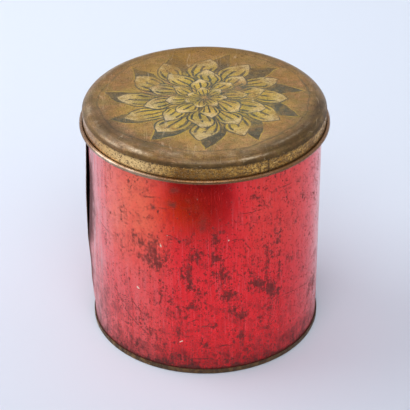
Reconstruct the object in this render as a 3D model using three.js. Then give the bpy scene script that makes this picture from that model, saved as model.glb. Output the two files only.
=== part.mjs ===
// Round tea tin with a slip-on lid, made of soldered tinplate.
// Millimetres, +Z up. The origin is on the ground under the middle of the base, and -Y is the front.
import * as THREE from "three";

// Stock and fits
const SHEET = 0.35; // tinplate thickness
const SEAT_GAP = 0.3; // clearance between pieces that lie against each other
const LID_SLACK = 0.1; // play that the lid has round the body's rim beyond the seat gap

// Body wall
const BODY_RADIUS = 63; // outer face
const BODY_HEIGHT = 130.8; // ground to the top of the curled rim
const BODY_CURL_RADIUS = 0.75; // rim's curl, at the middle of the sheet

// Side seam: a lap whose outer edge has sprung off the wall, on the left
const SEAM_ANGLE = 183.5; // free edge of the outer lap, anticlockwise from +X
const LAP_WIDTH = 8.8; // overlap along the wall
const LAP_NOTCH_LOW = 9; // height below which the inner lap is cut away, for the base seam
const LAP_NOTCH_TOP = 3.8; // from the top of the rim down to the outer lap's upper end
const JOGGLE_WIDTH = 6.6; // run in which the wall steps inwards to pass under the outer lap
const SPRUNG_WIDTH = 44; // stretch of wall that bows out behind the free edge
const SPRUNG_REACH = 2.5; // how far the bow stands out where it is fullest, half-way up
const SPRUNG_LOW = 1.4; // how far it stands out in its lower part
const SPRUNG_FROM = 4; // height where the bow starts
const LOW_FULL = 26; // height where its lower part is full
const GROWS_FROM = 30; // height where it starts to grow again
const SPRUNG_FULL = 54; // height where the bow is full
const EASED_FROM = 55; // distance below the outer lap's end where the bow starts to ease
const EASED_FULL = 12; // distance below the outer lap's end where the bow is as small as the lid wants it
const LAP_ROOM = 0.65; // from the loose lap's upper end to the lid's skirt
const PARTED_FROM = 36; // height where the two laps start to part
const PARTED_FULL = 104; // height where the inner lap is back on its circle
const HELD_WIDTH = 33; // stretch of wall that the outer lap still pulls out with it
const NARROW_FROM = 35; // distance below the outer lap's end where the bow starts to narrow

// Base
const BASE_RECESS = 3; // ground to the underside of the panel
const BASE_RIM_HEIGHT = 2.9; // folded rim, outside
const BASE_SHOULDER = 1.2; // panel to inner rim wall, at the middle of the sheet
const BASE_FOLD = 0.4; // two bends at the foot of the rim, at the middle of the sheet

// Lid
const LID_DEPTH = 13.7; // top to the lower edge of the curl
const SHOULDER_RADIUS = 7; // outside of the rounded shoulder
const LIP_ELEVATION = 22; // slope angle round the shoulder where the top's sheet ends
const FLANGE_ELEVATION = 62; // how far the skirt's flange reaches up under the shoulder
const LID_CURL_RADIUS = 1; // rolled edge, at the middle of the sheet

// Solder
const SEAM_SOLDER_WIDTH = 2.6;
const SEAM_SOLDER_THICKNESS = 0.5;
const SEAM_SOLDER_HEIGHT = 30; // length that still holds, above the low notch
const BASE_SOLDER_RISE = 1.5; // height of the fillet on the wall, above the panel
const LID_SOLDER_REACH = 2.2; // along the underside of the shoulder, from the flange's end
const LID_SOLDER_THICKNESS = 0.45;

// Fineness of round forms
const ROUND_SIDES = 60;
const WIRE_SIDES = 6;
const BEND_STEP = 40; // largest turn between two points of a tight bend, degrees
const SHOULDER_STEP = 14; // the same on the lid's shoulder
const CURL_SWEEP = 290; // turn of a rolled edge, degrees

// Derived places
const wallMiddle = BODY_RADIUS - SHEET / 2;
const wallInside = BODY_RADIUS - SHEET;
const wallFoot = SHEET + SEAT_GAP;
const bodyCurlZ = BODY_HEIGHT - BODY_CURL_RADIUS - SHEET / 2;
const bodyRimRadius = BODY_RADIUS + 2 * BODY_CURL_RADIUS;
const skirtInside = bodyRimRadius + SEAT_GAP + LID_SLACK;
const skirtMiddle = skirtInside + SHEET / 2;
const easedReach = skirtInside - LAP_ROOM - BODY_RADIUS;
const lapStep = SHEET + SEAT_GAP;

// The shoulder's centre: the skirt's flange and the lid's top share it, and the flange rests on the rim's curl.
const shoulderR = skirtInside + SHEET + SEAT_GAP + SHEET - SHOULDER_RADIUS;
const flangeRadius = SHOULDER_RADIUS - SHEET - SEAT_GAP - SHEET / 2;
const seatReach = flangeRadius - SHEET / 2 - SEAT_GAP - BODY_CURL_RADIUS - SHEET / 2;
const seatOffset = wallMiddle + BODY_CURL_RADIUS - shoulderR;
const shoulderZ = bodyCurlZ - Math.sqrt(seatReach ** 2 - seatOffset ** 2);
const lidTop = shoulderZ + SHOULDER_RADIUS;
const lidFoot = lidTop - LID_DEPTH;
const lidCurlR = skirtMiddle + LID_CURL_RADIUS;
const lidCurlZ = lidFoot + LID_CURL_RADIUS + SHEET / 2;
const wireRadius = LID_CURL_RADIUS - SHEET / 2 - SEAT_GAP;

const baseInnerWall = wallInside - SEAT_GAP - SHEET / 2;
const baseOuterWall = BODY_RADIUS + SEAT_GAP + SHEET / 2;
const basePanelZ = BASE_RECESS + SHEET / 2;

const { degToRad, radToDeg, smoothstep, lerp } = THREE.MathUtils;

// The line that a sheet's middle follows in a half section, r outwards and z up.
class SheetPath {
  constructor(r, z, heading) {
    this.r = r;
    this.z = z;
    this.heading = degToRad(heading);
    this.points = [];
    this.mark();
  }

  // Each point keeps the direction to the right of travel, for the sheet's two faces.
  mark() {
    const across = { r: Math.sin(this.heading), z: -Math.cos(this.heading) };
    this.points.push({ r: this.r, z: this.z, across });
  }

  straight(length) {
    this.r += length * Math.cos(this.heading);
    this.z += length * Math.sin(this.heading);
    this.mark();
    return this;
  }

  // A positive turn bends to the left of travel.
  bend(radius, turn, largestStep = BEND_STEP) {
    const steps = Math.ceil(Math.abs(turn) / largestStep);
    const stepTurn = degToRad(turn / steps);
    const side = Math.sign(turn);
    for (let step = 0; step < steps; step += 1) {
      this.r -= side * radius * Math.sin(this.heading);
      this.z += side * radius * Math.cos(this.heading);
      this.heading += stepTurn;
      this.r += side * radius * Math.sin(this.heading);
      this.z -= side * radius * Math.cos(this.heading);
      this.mark();
    }
    return this;
  }

  // One face of the sheet: 1 is the face to the right of travel, -1 the one to the left.
  face(side) {
    const reach = (side * SHEET) / 2;
    return this.points.map((p) => new THREE.Vector2(p.r + reach * p.across.r, p.z + reach * p.across.z));
  }

  outline() {
    return [...this.face(1), ...this.face(-1).reverse()];
  }
}

// Turns a half section round the Z axis. The section runs anticlockwise, r to the right and z up.
function revolve(section) {
  const onAxis = section[0].x === 0;
  const closed = onAxis ? section : [...section, section[0]];
  return new THREE.LatheGeometry(closed, ROUND_SIDES).rotateX(Math.PI / 2);
}

function arcPoints(centreR, centreZ, radius, fromElevation, toElevation, steps) {
  return Array.from({ length: steps + 1 }, (_, i) => {
    const elevation = degToRad(lerp(fromElevation, toElevation, i / steps));
    return new THREE.Vector2(centreR + radius * Math.cos(elevation), centreZ + radius * Math.sin(elevation));
  });
}

// A closed sheet on a grid of columns and rows. place(column, row, side) gives a point of its outer (1) or
// inner (-1) face, and filled(column, row) says whether the cell that starts there is part of the sheet.
function gridSheet(columns, rows, place, filled) {
  const positions = [];
  for (const side of [1, -1]) {
    for (let i = 0; i <= columns; i += 1) {
      for (let j = 0; j <= rows; j += 1) positions.push(...place(i, j, side));
    }
  }
  const faceSize = (columns + 1) * (rows + 1);
  const outer = (i, j) => i * (rows + 1) + j;
  const isCell = (i, j) => i >= 0 && i < columns && j >= 0 && j < rows && filled(i, j);
  const triangles = [];
  const quad = (a, b, c, d) => triangles.push(a, b, c, a, c, d);
  for (let i = 0; i < columns; i += 1) {
    for (let j = 0; j < rows; j += 1) {
      if (!isCell(i, j)) continue;
      const [a, b, c, d] = [outer(i, j), outer(i + 1, j), outer(i + 1, j + 1), outer(i, j + 1)];
      quad(a, b, c, d);
      quad(d + faceSize, c + faceSize, b + faceSize, a + faceSize);
      const edges = [[a, b, i, j - 1], [b, c, i + 1, j], [c, d, i, j + 1], [d, a, i - 1, j]];
      for (const [from, to, besideI, besideJ] of edges) {
        if (!isCell(besideI, besideJ)) quad(to, from, from + faceSize, to + faceSize);
      }
    }
  }
  const geometry = new THREE.BufferGeometry();
  geometry.setAttribute("position", new THREE.Float32BufferAttribute(positions, 3));
  geometry.setIndex(triangles);
  return geometry;
}

// Angles along the body's sheet: it starts under the lap, goes once round and ends as the outer lap.
const alongWall = (width) => radToDeg(width / BODY_RADIUS);
const lapEnd = SEAM_ANGLE + 360;
const lapStart = SEAM_ANGLE - alongWall(LAP_WIDTH);
const buttGap = alongWall(SEAT_GAP);
const innerLapEnd = SEAM_ANGLE + buttGap;
const outerLapStart = lapStart + 360 - buttGap;
const outerLapTop = BODY_HEIGHT - LAP_NOTCH_TOP;
const easedFrom = outerLapTop - EASED_FROM;
const easedFull = outerLapTop - EASED_FULL;

// Heights where the wall changes its course.
const wallHeights = [
  LAP_NOTCH_LOW / 2,
  LAP_NOTCH_LOW,
  SPRUNG_FROM,
  lerp(SPRUNG_FROM, LOW_FULL, 1 / 2),
  lerp(SPRUNG_FROM, LOW_FULL, 3 / 4),
  LOW_FULL,
  GROWS_FROM,
  PARTED_FROM,
  lerp(GROWS_FROM, SPRUNG_FULL, 1 / 2),
  lerp(GROWS_FROM, SPRUNG_FULL, 3 / 4),
  SPRUNG_FULL,
  easedFrom,
  lerp(easedFrom, PARTED_FULL, 1 / 2),
  PARTED_FULL,
  easedFull,
  outerLapTop,
  bodyCurlZ,
].sort((low, high) => low - high);

// How far the sheet's middle lies outside its circle, at an angle along the sheet and a height.
function seamOffset(angle, z) {
  if (z > outerLapTop) return 0;
  const low = SPRUNG_LOW * smoothstep(z, SPRUNG_FROM, LOW_FULL);
  const high = lerp(SPRUNG_REACH, easedReach, smoothstep(z, easedFrom, easedFull));
  const reach = lerp(low, high, smoothstep(z, GROWS_FROM, SPRUNG_FULL));

  const narrowed = smoothstep(z, outerLapTop - NARROW_FROM, outerLapTop);
  const root = lerp(outerLapStart - alongWall(SPRUNG_WIDTH), outerLapStart, narrowed);
  const full = lerp(outerLapStart, lapEnd, narrowed);
  const bow = reach * smoothstep(angle, root, full);

  const beside = 1 - smoothstep(angle, innerLapEnd, innerLapEnd + alongWall(HELD_WIDTH));
  const held = reach * beside * (1 - smoothstep(z, PARTED_FROM, PARTED_FULL));

  const stepped = 1 - smoothstep(angle, innerLapEnd, innerLapEnd + alongWall(JOGGLE_WIDTH));
  const joggle = lapStep * stepped * smoothstep(z, LAP_NOTCH_LOW / 2, LAP_NOTCH_LOW);
  return bow + held - joggle;
}

function onWall(angle, radius, z) {
  return [radius * Math.cos(degToRad(angle)), radius * Math.sin(degToRad(angle)), z];
}

function evenSteps(from, to, steps) {
  return Array.from({ length: steps }, (_, i) => lerp(from, to, i / steps));
}

// The body: one sheet with a lapped side seam, a plain foot in the base's rim and an outward curl at the top.
function bodyWall() {
  const path = new SheetPath(wallMiddle, wallFoot, 90);
  for (const z of wallHeights) path.straight(z - path.z);
  path.bend(BODY_CURL_RADIUS, -CURL_SWEEP);
  const rows = path.points;
  const lowNotchRow = wallHeights.indexOf(LAP_NOTCH_LOW) + 1;
  const topNotchRow = wallHeights.indexOf(outerLapTop) + 1;

  const lapSteps = 3;
  const angles = [
    ...evenSteps(lapStart, innerLapEnd, lapSteps),
    ...evenSteps(innerLapEnd, innerLapEnd + alongWall(JOGGLE_WIDTH), lapSteps),
    ...evenSteps(innerLapEnd + alongWall(JOGGLE_WIDTH), outerLapStart, ROUND_SIDES),
    ...evenSteps(outerLapStart, lapEnd, lapSteps),
    lapEnd,
  ];
  const columns = angles.length - 1;
  const place = (i, j, side) => {
    const { r, z, across } = rows[j];
    const reach = (side * SHEET) / 2;
    return onWall(angles[i], r + seamOffset(angles[i], z) + reach * across.r, z + reach * across.z);
  };
  const filled = (i, j) =>
    !(i < lapSteps && j < lowNotchRow) && !(i >= columns - lapSteps && j >= topNotchRow);
  return gridSheet(columns, rows.length - 1, place, filled);
}

// What is left of the solder, inside the tin along the edge of the inner lap.
function sideSeamSolder() {
  const columns = 2;
  const top = LAP_NOTCH_LOW + SEAM_SOLDER_HEIGHT;
  const levels = [...wallHeights.filter((z) => z >= LAP_NOTCH_LOW && z < top), top];
  const last = outerLapStart;
  const first = last - alongWall(SEAM_SOLDER_WIDTH);
  const outsideReach = SHEET / 2 + SEAT_GAP;
  const place = (i, j, side) => {
    const angle = lerp(first, last, i / columns);
    const z = levels[j];
    const outside = wallMiddle + seamOffset(angle, z) - outsideReach;
    return onWall(angle, side > 0 ? outside : outside - SEAM_SOLDER_THICKNESS, z);
  };
  return gridSheet(columns, levels.length - 1, place, () => true);
}

// The base: a recessed panel whose edge is folded round the foot of the wall.
function baseEnd() {
  const path = new SheetPath(0, basePanelZ, 0);
  path.straight(baseInnerWall - BASE_SHOULDER);
  path.bend(BASE_SHOULDER, -90);
  path.straight(path.z - BASE_FOLD - SHEET / 2);
  path.bend(BASE_FOLD, 90);
  path.straight(baseOuterWall - baseInnerWall - 2 * BASE_FOLD);
  path.bend(BASE_FOLD, 90);
  path.straight(BASE_RIM_HEIGHT - path.z);
  return revolve(path.outline());
}

// Solder run into the corner between the base panel and the wall, inside the tin.
function baseSolder() {
  const centreR = baseInnerWall - BASE_SHOULDER;
  const centreZ = basePanelZ - BASE_SHOULDER;
  const radius = BASE_SHOULDER + SHEET / 2 + SEAT_GAP;
  const outside = wallInside - SEAT_GAP;
  const lowest = radToDeg(Math.acos((outside - centreR) / radius));
  const bed = arcPoints(centreR, centreZ, radius, 90, lowest, 3);
  return revolve([...bed, new THREE.Vector2(outside, basePanelZ + SHEET / 2 + BASE_SOLDER_RISE)]);
}

// The lid's top: a pressed disc with a rounded shoulder, whose edge laps over the skirt.
function lidTopDisc() {
  const path = new SheetPath(0, lidTop - SHEET / 2, 0);
  path.straight(shoulderR);
  path.bend(SHOULDER_RADIUS - SHEET / 2, LIP_ELEVATION - 90, SHOULDER_STEP);
  return revolve(path.outline());
}

// The lid's skirt: a hoop with a flange under the shoulder and a lower edge rolled outwards over the wire.
function lidSkirt() {
  const elevation = degToRad(FLANGE_ELEVATION);
  const startR = shoulderR + flangeRadius * Math.cos(elevation);
  const startZ = shoulderZ + flangeRadius * Math.sin(elevation);
  const path = new SheetPath(startR, startZ, FLANGE_ELEVATION - 90);
  path.bend(flangeRadius, -FLANGE_ELEVATION, SHOULDER_STEP);
  path.straight(path.z - lidCurlZ);
  path.bend(LID_CURL_RADIUS, CURL_SWEEP);
  return revolve(path.outline());
}

// Solder under the shoulder, along the inner end of the skirt's flange.
function lidSolder() {
  const radius = SHOULDER_RADIUS - SHEET - SEAT_GAP;
  const low = FLANGE_ELEVATION + radToDeg(SEAT_GAP / radius);
  const high = low + radToDeg(LID_SOLDER_REACH / radius);
  const [root] = arcPoints(shoulderR, shoulderZ, radius - LID_SOLDER_THICKNESS, low, high, 1);
  return revolve([root, ...arcPoints(shoulderR, shoulderZ, radius, low, high, 2)]);
}

// The wire inside the lid's rolled edge.
function lidWire() {
  return new THREE.TorusGeometry(lidCurlR, wireRadius, WIRE_SIDES, ROUND_SIDES).translate(0, 0, lidCurlZ);
}

const finishes = {
  redLacquer: new THREE.MeshStandardMaterial({ color: 0xb8262b, roughness: 0.35, metalness: 0.2 }),
  copperPrint: new THREE.MeshStandardMaterial({ color: 0x8f6d45, roughness: 0.4, metalness: 0.5 }),
  goldLacquer: new THREE.MeshStandardMaterial({ color: 0xa57d42, roughness: 0.4, metalness: 0.6 }),
  wornTin: new THREE.MeshStandardMaterial({ color: 0x6b4f3a, roughness: 0.5, metalness: 0.7 }),
  solder: new THREE.MeshStandardMaterial({ color: 0x8c8a86, roughness: 0.55, metalness: 0.8 }),
  steelWire: new THREE.MeshStandardMaterial({ color: 0x6e6660, roughness: 0.5, metalness: 0.8 }),
};

function piece(name, geometry, material) {
  const mesh = new THREE.Mesh(geometry, material);
  mesh.name = name;
  return mesh;
}

const body = new THREE.Group();
body.add(
  piece("body_wall", bodyWall(), finishes.redLacquer),
  piece("side_seam_solder", sideSeamSolder(), finishes.solder),
  piece("base_end", baseEnd(), finishes.wornTin),
  piece("base_solder", baseSolder(), finishes.solder),
);

const lid = new THREE.Group();
lid.add(
  piece("lid_top", lidTopDisc(), finishes.copperPrint),
  piece("lid_skirt", lidSkirt(), finishes.goldLacquer),
  piece("lid_solder", lidSolder(), finishes.solder),
  piece("lid_rim_wire", lidWire(), finishes.steelWire),
);

const tin = new THREE.Group();
tin.add(body, lid);

export default tin;
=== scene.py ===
"""Looks of a round, soldered tea tin with a slip-on lid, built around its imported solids.

Sizes are in millimetres and angles in degrees anticlockwise from +X, seen from above.
Meshes are scaled to metres when they are made. The front is -Y.
"""

import logging
import math
from collections.abc import Callable, Iterator
from dataclasses import dataclass, field
from enum import Enum
from functools import partial, reduce
from itertools import product

import bpy
import numpy as np
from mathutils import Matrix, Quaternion, Vector

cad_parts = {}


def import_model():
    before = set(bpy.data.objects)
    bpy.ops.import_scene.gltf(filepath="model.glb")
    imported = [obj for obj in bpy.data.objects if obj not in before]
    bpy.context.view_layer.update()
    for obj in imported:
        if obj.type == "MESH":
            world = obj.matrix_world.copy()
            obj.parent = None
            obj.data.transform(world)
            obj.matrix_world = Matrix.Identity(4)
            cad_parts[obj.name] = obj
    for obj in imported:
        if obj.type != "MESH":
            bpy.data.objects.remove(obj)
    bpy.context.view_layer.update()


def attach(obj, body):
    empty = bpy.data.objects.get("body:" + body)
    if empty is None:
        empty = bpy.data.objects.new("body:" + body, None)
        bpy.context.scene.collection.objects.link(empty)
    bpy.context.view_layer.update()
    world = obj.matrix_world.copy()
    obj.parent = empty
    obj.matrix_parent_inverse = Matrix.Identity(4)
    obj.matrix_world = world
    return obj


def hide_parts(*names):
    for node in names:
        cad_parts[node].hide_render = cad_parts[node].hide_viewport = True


MM = 0.001
UV_UNIT = 0.01  # one unit of the unrolled coordinates is 100 mm
FRONT = 270.0
SHARP_FOLD = 38.0  # folds of more degrees than this stay crisp
PATCH_SPREAD = 1.15  # worn patches are this much wider than their listed sizes
RUN_WAVES = (37, 11)  # two waves round the wire and the solder runs, so many in a turn
RUN_THINNING = 0.1  # the largest share by which these make them thinner

log = logging.getLogger("tea_tin")

Triple = tuple[float, float, float]
Shade = tuple[float, float, float, float]
Pair = tuple[float, float]
Array = np.ndarray
Socket = bpy.types.NodeSocket
Node = bpy.types.Node
Given = bpy.types.NodeOutputs
Masks = dict[str, Socket]
Material = bpy.types.Material
Piece = bpy.types.Object


class Side(Enum):
    """Which face of a sheet a material goes on."""

    RIGHT = 0
    LEFT = 1
    EDGE = 2
    ROLL = 3


class Body(Enum):
    """The rigid bodies that pieces ride on."""

    TIN = "tin"
    LID = "lid"
    WIRE = "lid_wire"


class Slot(Enum):
    """The record's material slots."""

    RED = "red_lacquer"
    PRINT = "copper_print"
    GOLD = "gold_lacquer"
    TIN = "worn_tin"
    SOLDER = "solder"
    WIRE = "steel_wire"


def srgb(red: int, green: int, blue: int) -> Shade:
    """A linear colour with alpha from the 0 to 255 values of a screen colour."""
    shares = [v / 255 for v in (red, green, blue)]
    return (*(v / 12.92 if v <= 0.04045 else ((v + 0.055) / 1.055) ** 2.4 for v in shares), 1.0)


def ease(value: Array, low: float | Array, high: float | Array) -> Array:
    """A smooth step from 0 at low to 1 at high."""
    t = np.clip((value - low) / (high - low), 0.0, 1.0)
    return t * t * (3 - 2 * t)


def ebb(value: Array, low: float | Array, high: float | Array) -> Array:
    """A smooth step from 1 at low to 0 at high."""
    return 1 - ease(value, low, high)


def highest(*values: Array) -> Array:
    """The largest of some values at each place."""
    return reduce(np.maximum, values)


@dataclass(frozen=True)
class Ripples:
    """Soft unevenness of thin sheet: a sum of waves, each of which reaches so far at most."""

    seed: int
    waves: int
    reach: float

    def at(self, angle: Array, height: Array) -> Array:
        """The unevenness at each place, which closes on itself round the axis.

        Args:
            angle: angles in degrees.
            height: heights or distances along the sheet in millimetres.

        Returns:
            The unevenness in millimetres.
        """
        draw = np.random.default_rng(self.seed)
        total = np.zeros(np.broadcast(angle, height).shape)
        for _ in range(self.waves):
            turns = draw.integers(2, 9)
            rise = draw.uniform(-0.08, 0.08)
            phase = draw.uniform(0, 2 * math.pi)
            size = draw.uniform(0.3, 1.0) * self.reach
            total = total + size * np.cos(np.radians(angle) * turns + height * rise + phase)
        return total


@dataclass(frozen=True)
class Band:
    """A soft-edged stretch, which comes up between two values and goes down between two more."""

    rise: Pair
    fall: Pair
    strength: float = 1.0

    def at(self, value: Array) -> Array:
        """The band's strength at each value."""
        return self.strength * ease(value, *self.rise) * ebb(value, *self.fall)


@dataclass(frozen=True)
class Spot:
    """A soft-edged spot on a sheet laid flat: its middle, half sizes and strength."""

    x: float
    y: float
    half_x: float
    half_y: float
    strength: float = 1.0

    def across(self, x: Array) -> Array:
        """How far places lie from the middle along x."""
        return x - self.x

    def at(self, x: Array, y: Array) -> Array:
        """The spot's strength at each place."""
        beside = (self.across(x) / self.half_x) ** 2
        return self.strength * np.exp(-beside - ((y - self.y) / self.half_y) ** 2)


class RoundSpot(Spot):
    """A spot whose x is an angle in degrees."""

    def across(self, x: Array) -> Array:
        """How far angles lie from the middle, the shorter way round."""
        return (x - self.x + 180) % 360 - 180


def strongest(spots: tuple[Spot, ...], x: Array, y: Array) -> Array:
    """The strength of the strongest spot at each place, 0 where there is none."""
    return highest(np.zeros(np.broadcast(x, y).shape), *(spot.at(x, y) for spot in spots))


class SheetPath:
    """The line that a sheet's middle follows in a half section, r outwards and z up."""

    def __init__(self, r: float, z: float, heading: float) -> None:
        """Starts at a point.

        Args:
            r: its distance from the axis.
            z: its height.
            heading: direction of travel, in degrees up from the outward direction.
        """
        self.r = r
        self.z = z
        self.heading = math.radians(heading)
        self.length = 0.0
        self.points: list[tuple[float, float, float, float, float]] = []
        self._mark()

    def _mark(self) -> None:
        """Keeps the point, the direction to the right of travel and the length so far."""
        across = (math.sin(self.heading), -math.cos(self.heading))
        self.points.append((self.r, self.z, *across, self.length))

    def straight(self, length: float, steps: int = 1) -> "SheetPath":
        """Goes straight on.

        Args:
            length: how far.
            steps: number of points on the way.

        Returns:
            The path itself.
        """
        for _ in range(steps):
            self.r += length / steps * math.cos(self.heading)
            self.z += length / steps * math.sin(self.heading)
            self.length += length / steps
            self._mark()
        return self

    def bend(self, radius: float, turn: float, steps: int) -> "SheetPath":
        """Goes round a bend.

        Args:
            radius: radius of the bend at the middle of the sheet.
            turn: angle in degrees, positive to the left of travel.
            steps: number of points on the way.

        Returns:
            The path itself.
        """
        side = math.copysign(1.0, turn)
        step_turn = math.radians(turn / steps)
        for _ in range(steps):
            self.r -= side * radius * math.sin(self.heading)
            self.z += side * radius * math.cos(self.heading)
            self.heading += step_turn
            self.r += side * radius * math.sin(self.heading)
            self.z -= side * radius * math.cos(self.heading)
            self.length += radius * abs(step_turn)
            self._mark()
        return self

    def table(self) -> Array:
        """The points as rows of r, z, across r, across z and length."""
        return np.array(self.points)


Offset = Callable[[Array, Array, Array], Array]
Corner = tuple[int, int, int]


@dataclass
class SheetGrid:
    """A closed sheet of even thickness: a path swept round the axis over a row of angles."""

    name: str
    path: SheetPath
    angles: Array
    thickness: float
    offset: Offset
    whole_turn: bool = True
    filled: Callable[[int, int], bool] | None = None
    uv_radius: float = 60.0
    roll_row: int | None = None
    marks: dict[str, Array] = field(default_factory=dict)

    def __post_init__(self) -> None:
        """Works out the size of the grid and whether it starts on the axis."""
        self.table = self.path.table()
        self.shape = (len(self.angles), len(self.table))
        self.columns = len(self.angles) if self.whole_turn else len(self.angles) - 1
        self.rows = len(self.table) - 1
        self.on_axis = bool(abs(self.table[0, 0]) < 1e-9)

    def _points(self) -> Array:
        """The places of the grid's points in metres.

        Returns:
            The points of the right-hand face, then those of the left-hand one.
        """
        turn = np.radians(self.angles)[:, None]
        radius, height, across_r, across_z, _ = self.table.T[:, None, :]
        push = self.offset(self.angles[:, None], radius, height)
        faces = []
        for side in (1, -1):
            reach = push + side * self.thickness / 2
            r = np.maximum(radius + reach * across_r, 0.0)
            z = height + reach * across_z
            faces.append(np.stack([r * np.cos(turn), r * np.sin(turn), z], axis=-1).reshape(-1, 3))
        return np.concatenate(faces) * MM

    def _number(self, i: int, j: int, face: int) -> int:
        """The number of a point, of which all those on the axis share one."""
        place = 0 if self.on_axis and j == 0 else (i % self.shape[0]) * self.shape[1] + j
        return face * self.shape[0] * self.shape[1] + place

    def _is_cell(self, i: int, j: int) -> bool:
        """Whether a grid cell is part of the sheet."""
        inside = 0 <= j < self.rows and (self.whole_turn or 0 <= i < self.columns)
        return inside and (self.filled is None or self.filled(i, j))

    def _faces(self) -> Iterator[tuple[list[Corner], Side]]:
        """Goes through the faces: both sides of each cell, and its edges that have no cell beside.

        Yields:
            The corners as column, row and face of the sheet (0 is right, 1 left), and the side.
        """
        for i, j in product(range(self.columns), range(self.rows)):
            if not self._is_cell(i, j):
                continue
            a, b, c, d = (i, j), (i + 1, j), (i + 1, j + 1), (i, j + 1)
            rolled = self.roll_row is not None and j >= self.roll_row
            yield [(*p, 0) for p in (a, b, c, d)], Side.ROLL if rolled else Side.RIGHT
            yield [(*p, 1) for p in (d, c, b, a)], Side.LEFT
            beside = [(a, b, i, j - 1), (b, c, i + 1, j), (c, d, i, j + 1), (d, a, i - 1, j)]
            for start, end, next_i, next_j in beside:
                closed = (self.whole_turn and next_i != i) or (self.on_axis and next_j < 0)
                if not closed and not self._is_cell(next_i, next_j):
                    yield [(*end, 0), (*start, 0), (*start, 1), (*end, 1)], Side.EDGE

    def build(self, materials: dict[Side, Material]) -> Piece:
        """Makes the mesh and its object.

        Args:
            materials: one material for each side of the sheet.

        Returns:
            The new object.
        """
        turn = np.radians(self.angles)
        turn = np.append(turn, turn[0] + 2 * math.pi)
        around = (turn - math.radians(FRONT)) * self.uv_radius * UV_UNIT
        along = self.table[:, 4] * UV_UNIT
        faces: list[list[int]] = []
        slots: list[int] = []
        unrolled: list[float] = []
        for corners, side in self._faces():
            numbers = [self._number(*corner) for corner in corners]
            kept = [k for k in range(len(numbers)) if numbers[k] != numbers[k - 1]]
            faces.append([numbers[k] for k in kept])
            slots.append(side.value)
            for k in kept:
                unrolled += (around[corners[k][0]], along[corners[k][1]])

        points = self._points()
        used = np.unique(np.concatenate(faces))
        renumber = np.full(len(points), -1)
        renumber[used] = np.arange(len(used))
        mesh = bpy.data.meshes.new(self.name)
        mesh.from_pydata(points[used].tolist(), [], [renumber[face].tolist() for face in faces])
        mesh.polygons.foreach_set("material_index", slots)
        mesh.uv_layers.new(name="unrolled").data.foreach_set("uv", unrolled)
        for label, values in self.marks.items():
            on_both = np.tile(np.broadcast_to(values, self.shape).reshape(-1), 2)
            layer = mesh.attributes.new(label, "FLOAT", "POINT")
            layer.data.foreach_set("value", on_both[used].astype(np.float32))
        return finish_object(mesh, [materials[s] for s in Side if s in materials])


def put_in_scene(name: str, data: bpy.types.ID) -> Piece:
    """A new object in the scene.

    Args:
        name: its name.
        data: its mesh, lamp or camera.

    Returns:
        The object.
    """
    piece = bpy.data.objects.new(name, data)
    bpy.context.scene.collection.objects.link(piece)
    return piece


def finish_object(mesh: bpy.types.Mesh, materials: list[Material]) -> Piece:
    """Gives a mesh its materials, smooth shading with crisp folds, and an object in the scene.

    Args:
        mesh: the mesh.
        materials: its materials in slot order.

    Returns:
        The new object.
    """
    for material in materials:
        mesh.materials.append(material)
    mesh.validate()
    mesh.shade_smooth()
    mesh.set_sharp_from_angle(angle=math.radians(SHARP_FOLD))
    return put_in_scene(mesh.name, mesh)


def full_turn(columns: int) -> Array:
    """Evenly spaced angles of a whole turn, from the back round to the back."""
    return np.linspace(90.0, 450.0, columns, endpoint=False)


def arc(centre: Pair, radius: float, angles: Array | list[float]) -> list[Pair]:
    """Points on a circle in a half section, at angles in radians up from the outward direction."""
    return [(centre[0] + radius * math.cos(a), centre[1] + radius * math.sin(a)) for a in angles]


def ring_mesh(name: str, section: list[Pair], sides: int, metal: Material, seed: int) -> Piece:
    """A wire or solder run: a closed section turned round the axis, slightly uneven.

    Args:
        name: the piece's name.
        section: corners of the section, anticlockwise, as r and z.
        sides: number of steps round.
        metal: its material.
        seed: shifts the unevenness.

    Returns:
        The new object.
    """
    corners = np.array(section)
    middle = corners.mean(axis=0)
    turn = np.radians(full_turn(sides))
    wave = np.sin(turn * RUN_WAVES[0] + seed) * np.sin(turn * RUN_WAVES[1])
    draw_in = 1 - RUN_THINNING * (0.5 + 0.5 * wave)
    points = []
    for angle, share in zip(turn, draw_in):
        for r, z in middle + (corners - middle) * share:
            points.append((r * math.cos(angle) * MM, r * math.sin(angle) * MM, z * MM))
    count = len(section)
    faces = []
    for i, j in product(range(sides), range(count)):
        here, beyond = i * count, ((i + 1) % sides) * count
        above = (j + 1) % count
        faces.append((here + j, beyond + j, beyond + above, here + above))
    mesh = bpy.data.meshes.new(name)
    mesh.from_pydata(points, [], faces)
    return finish_object(mesh, [metal])


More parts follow.
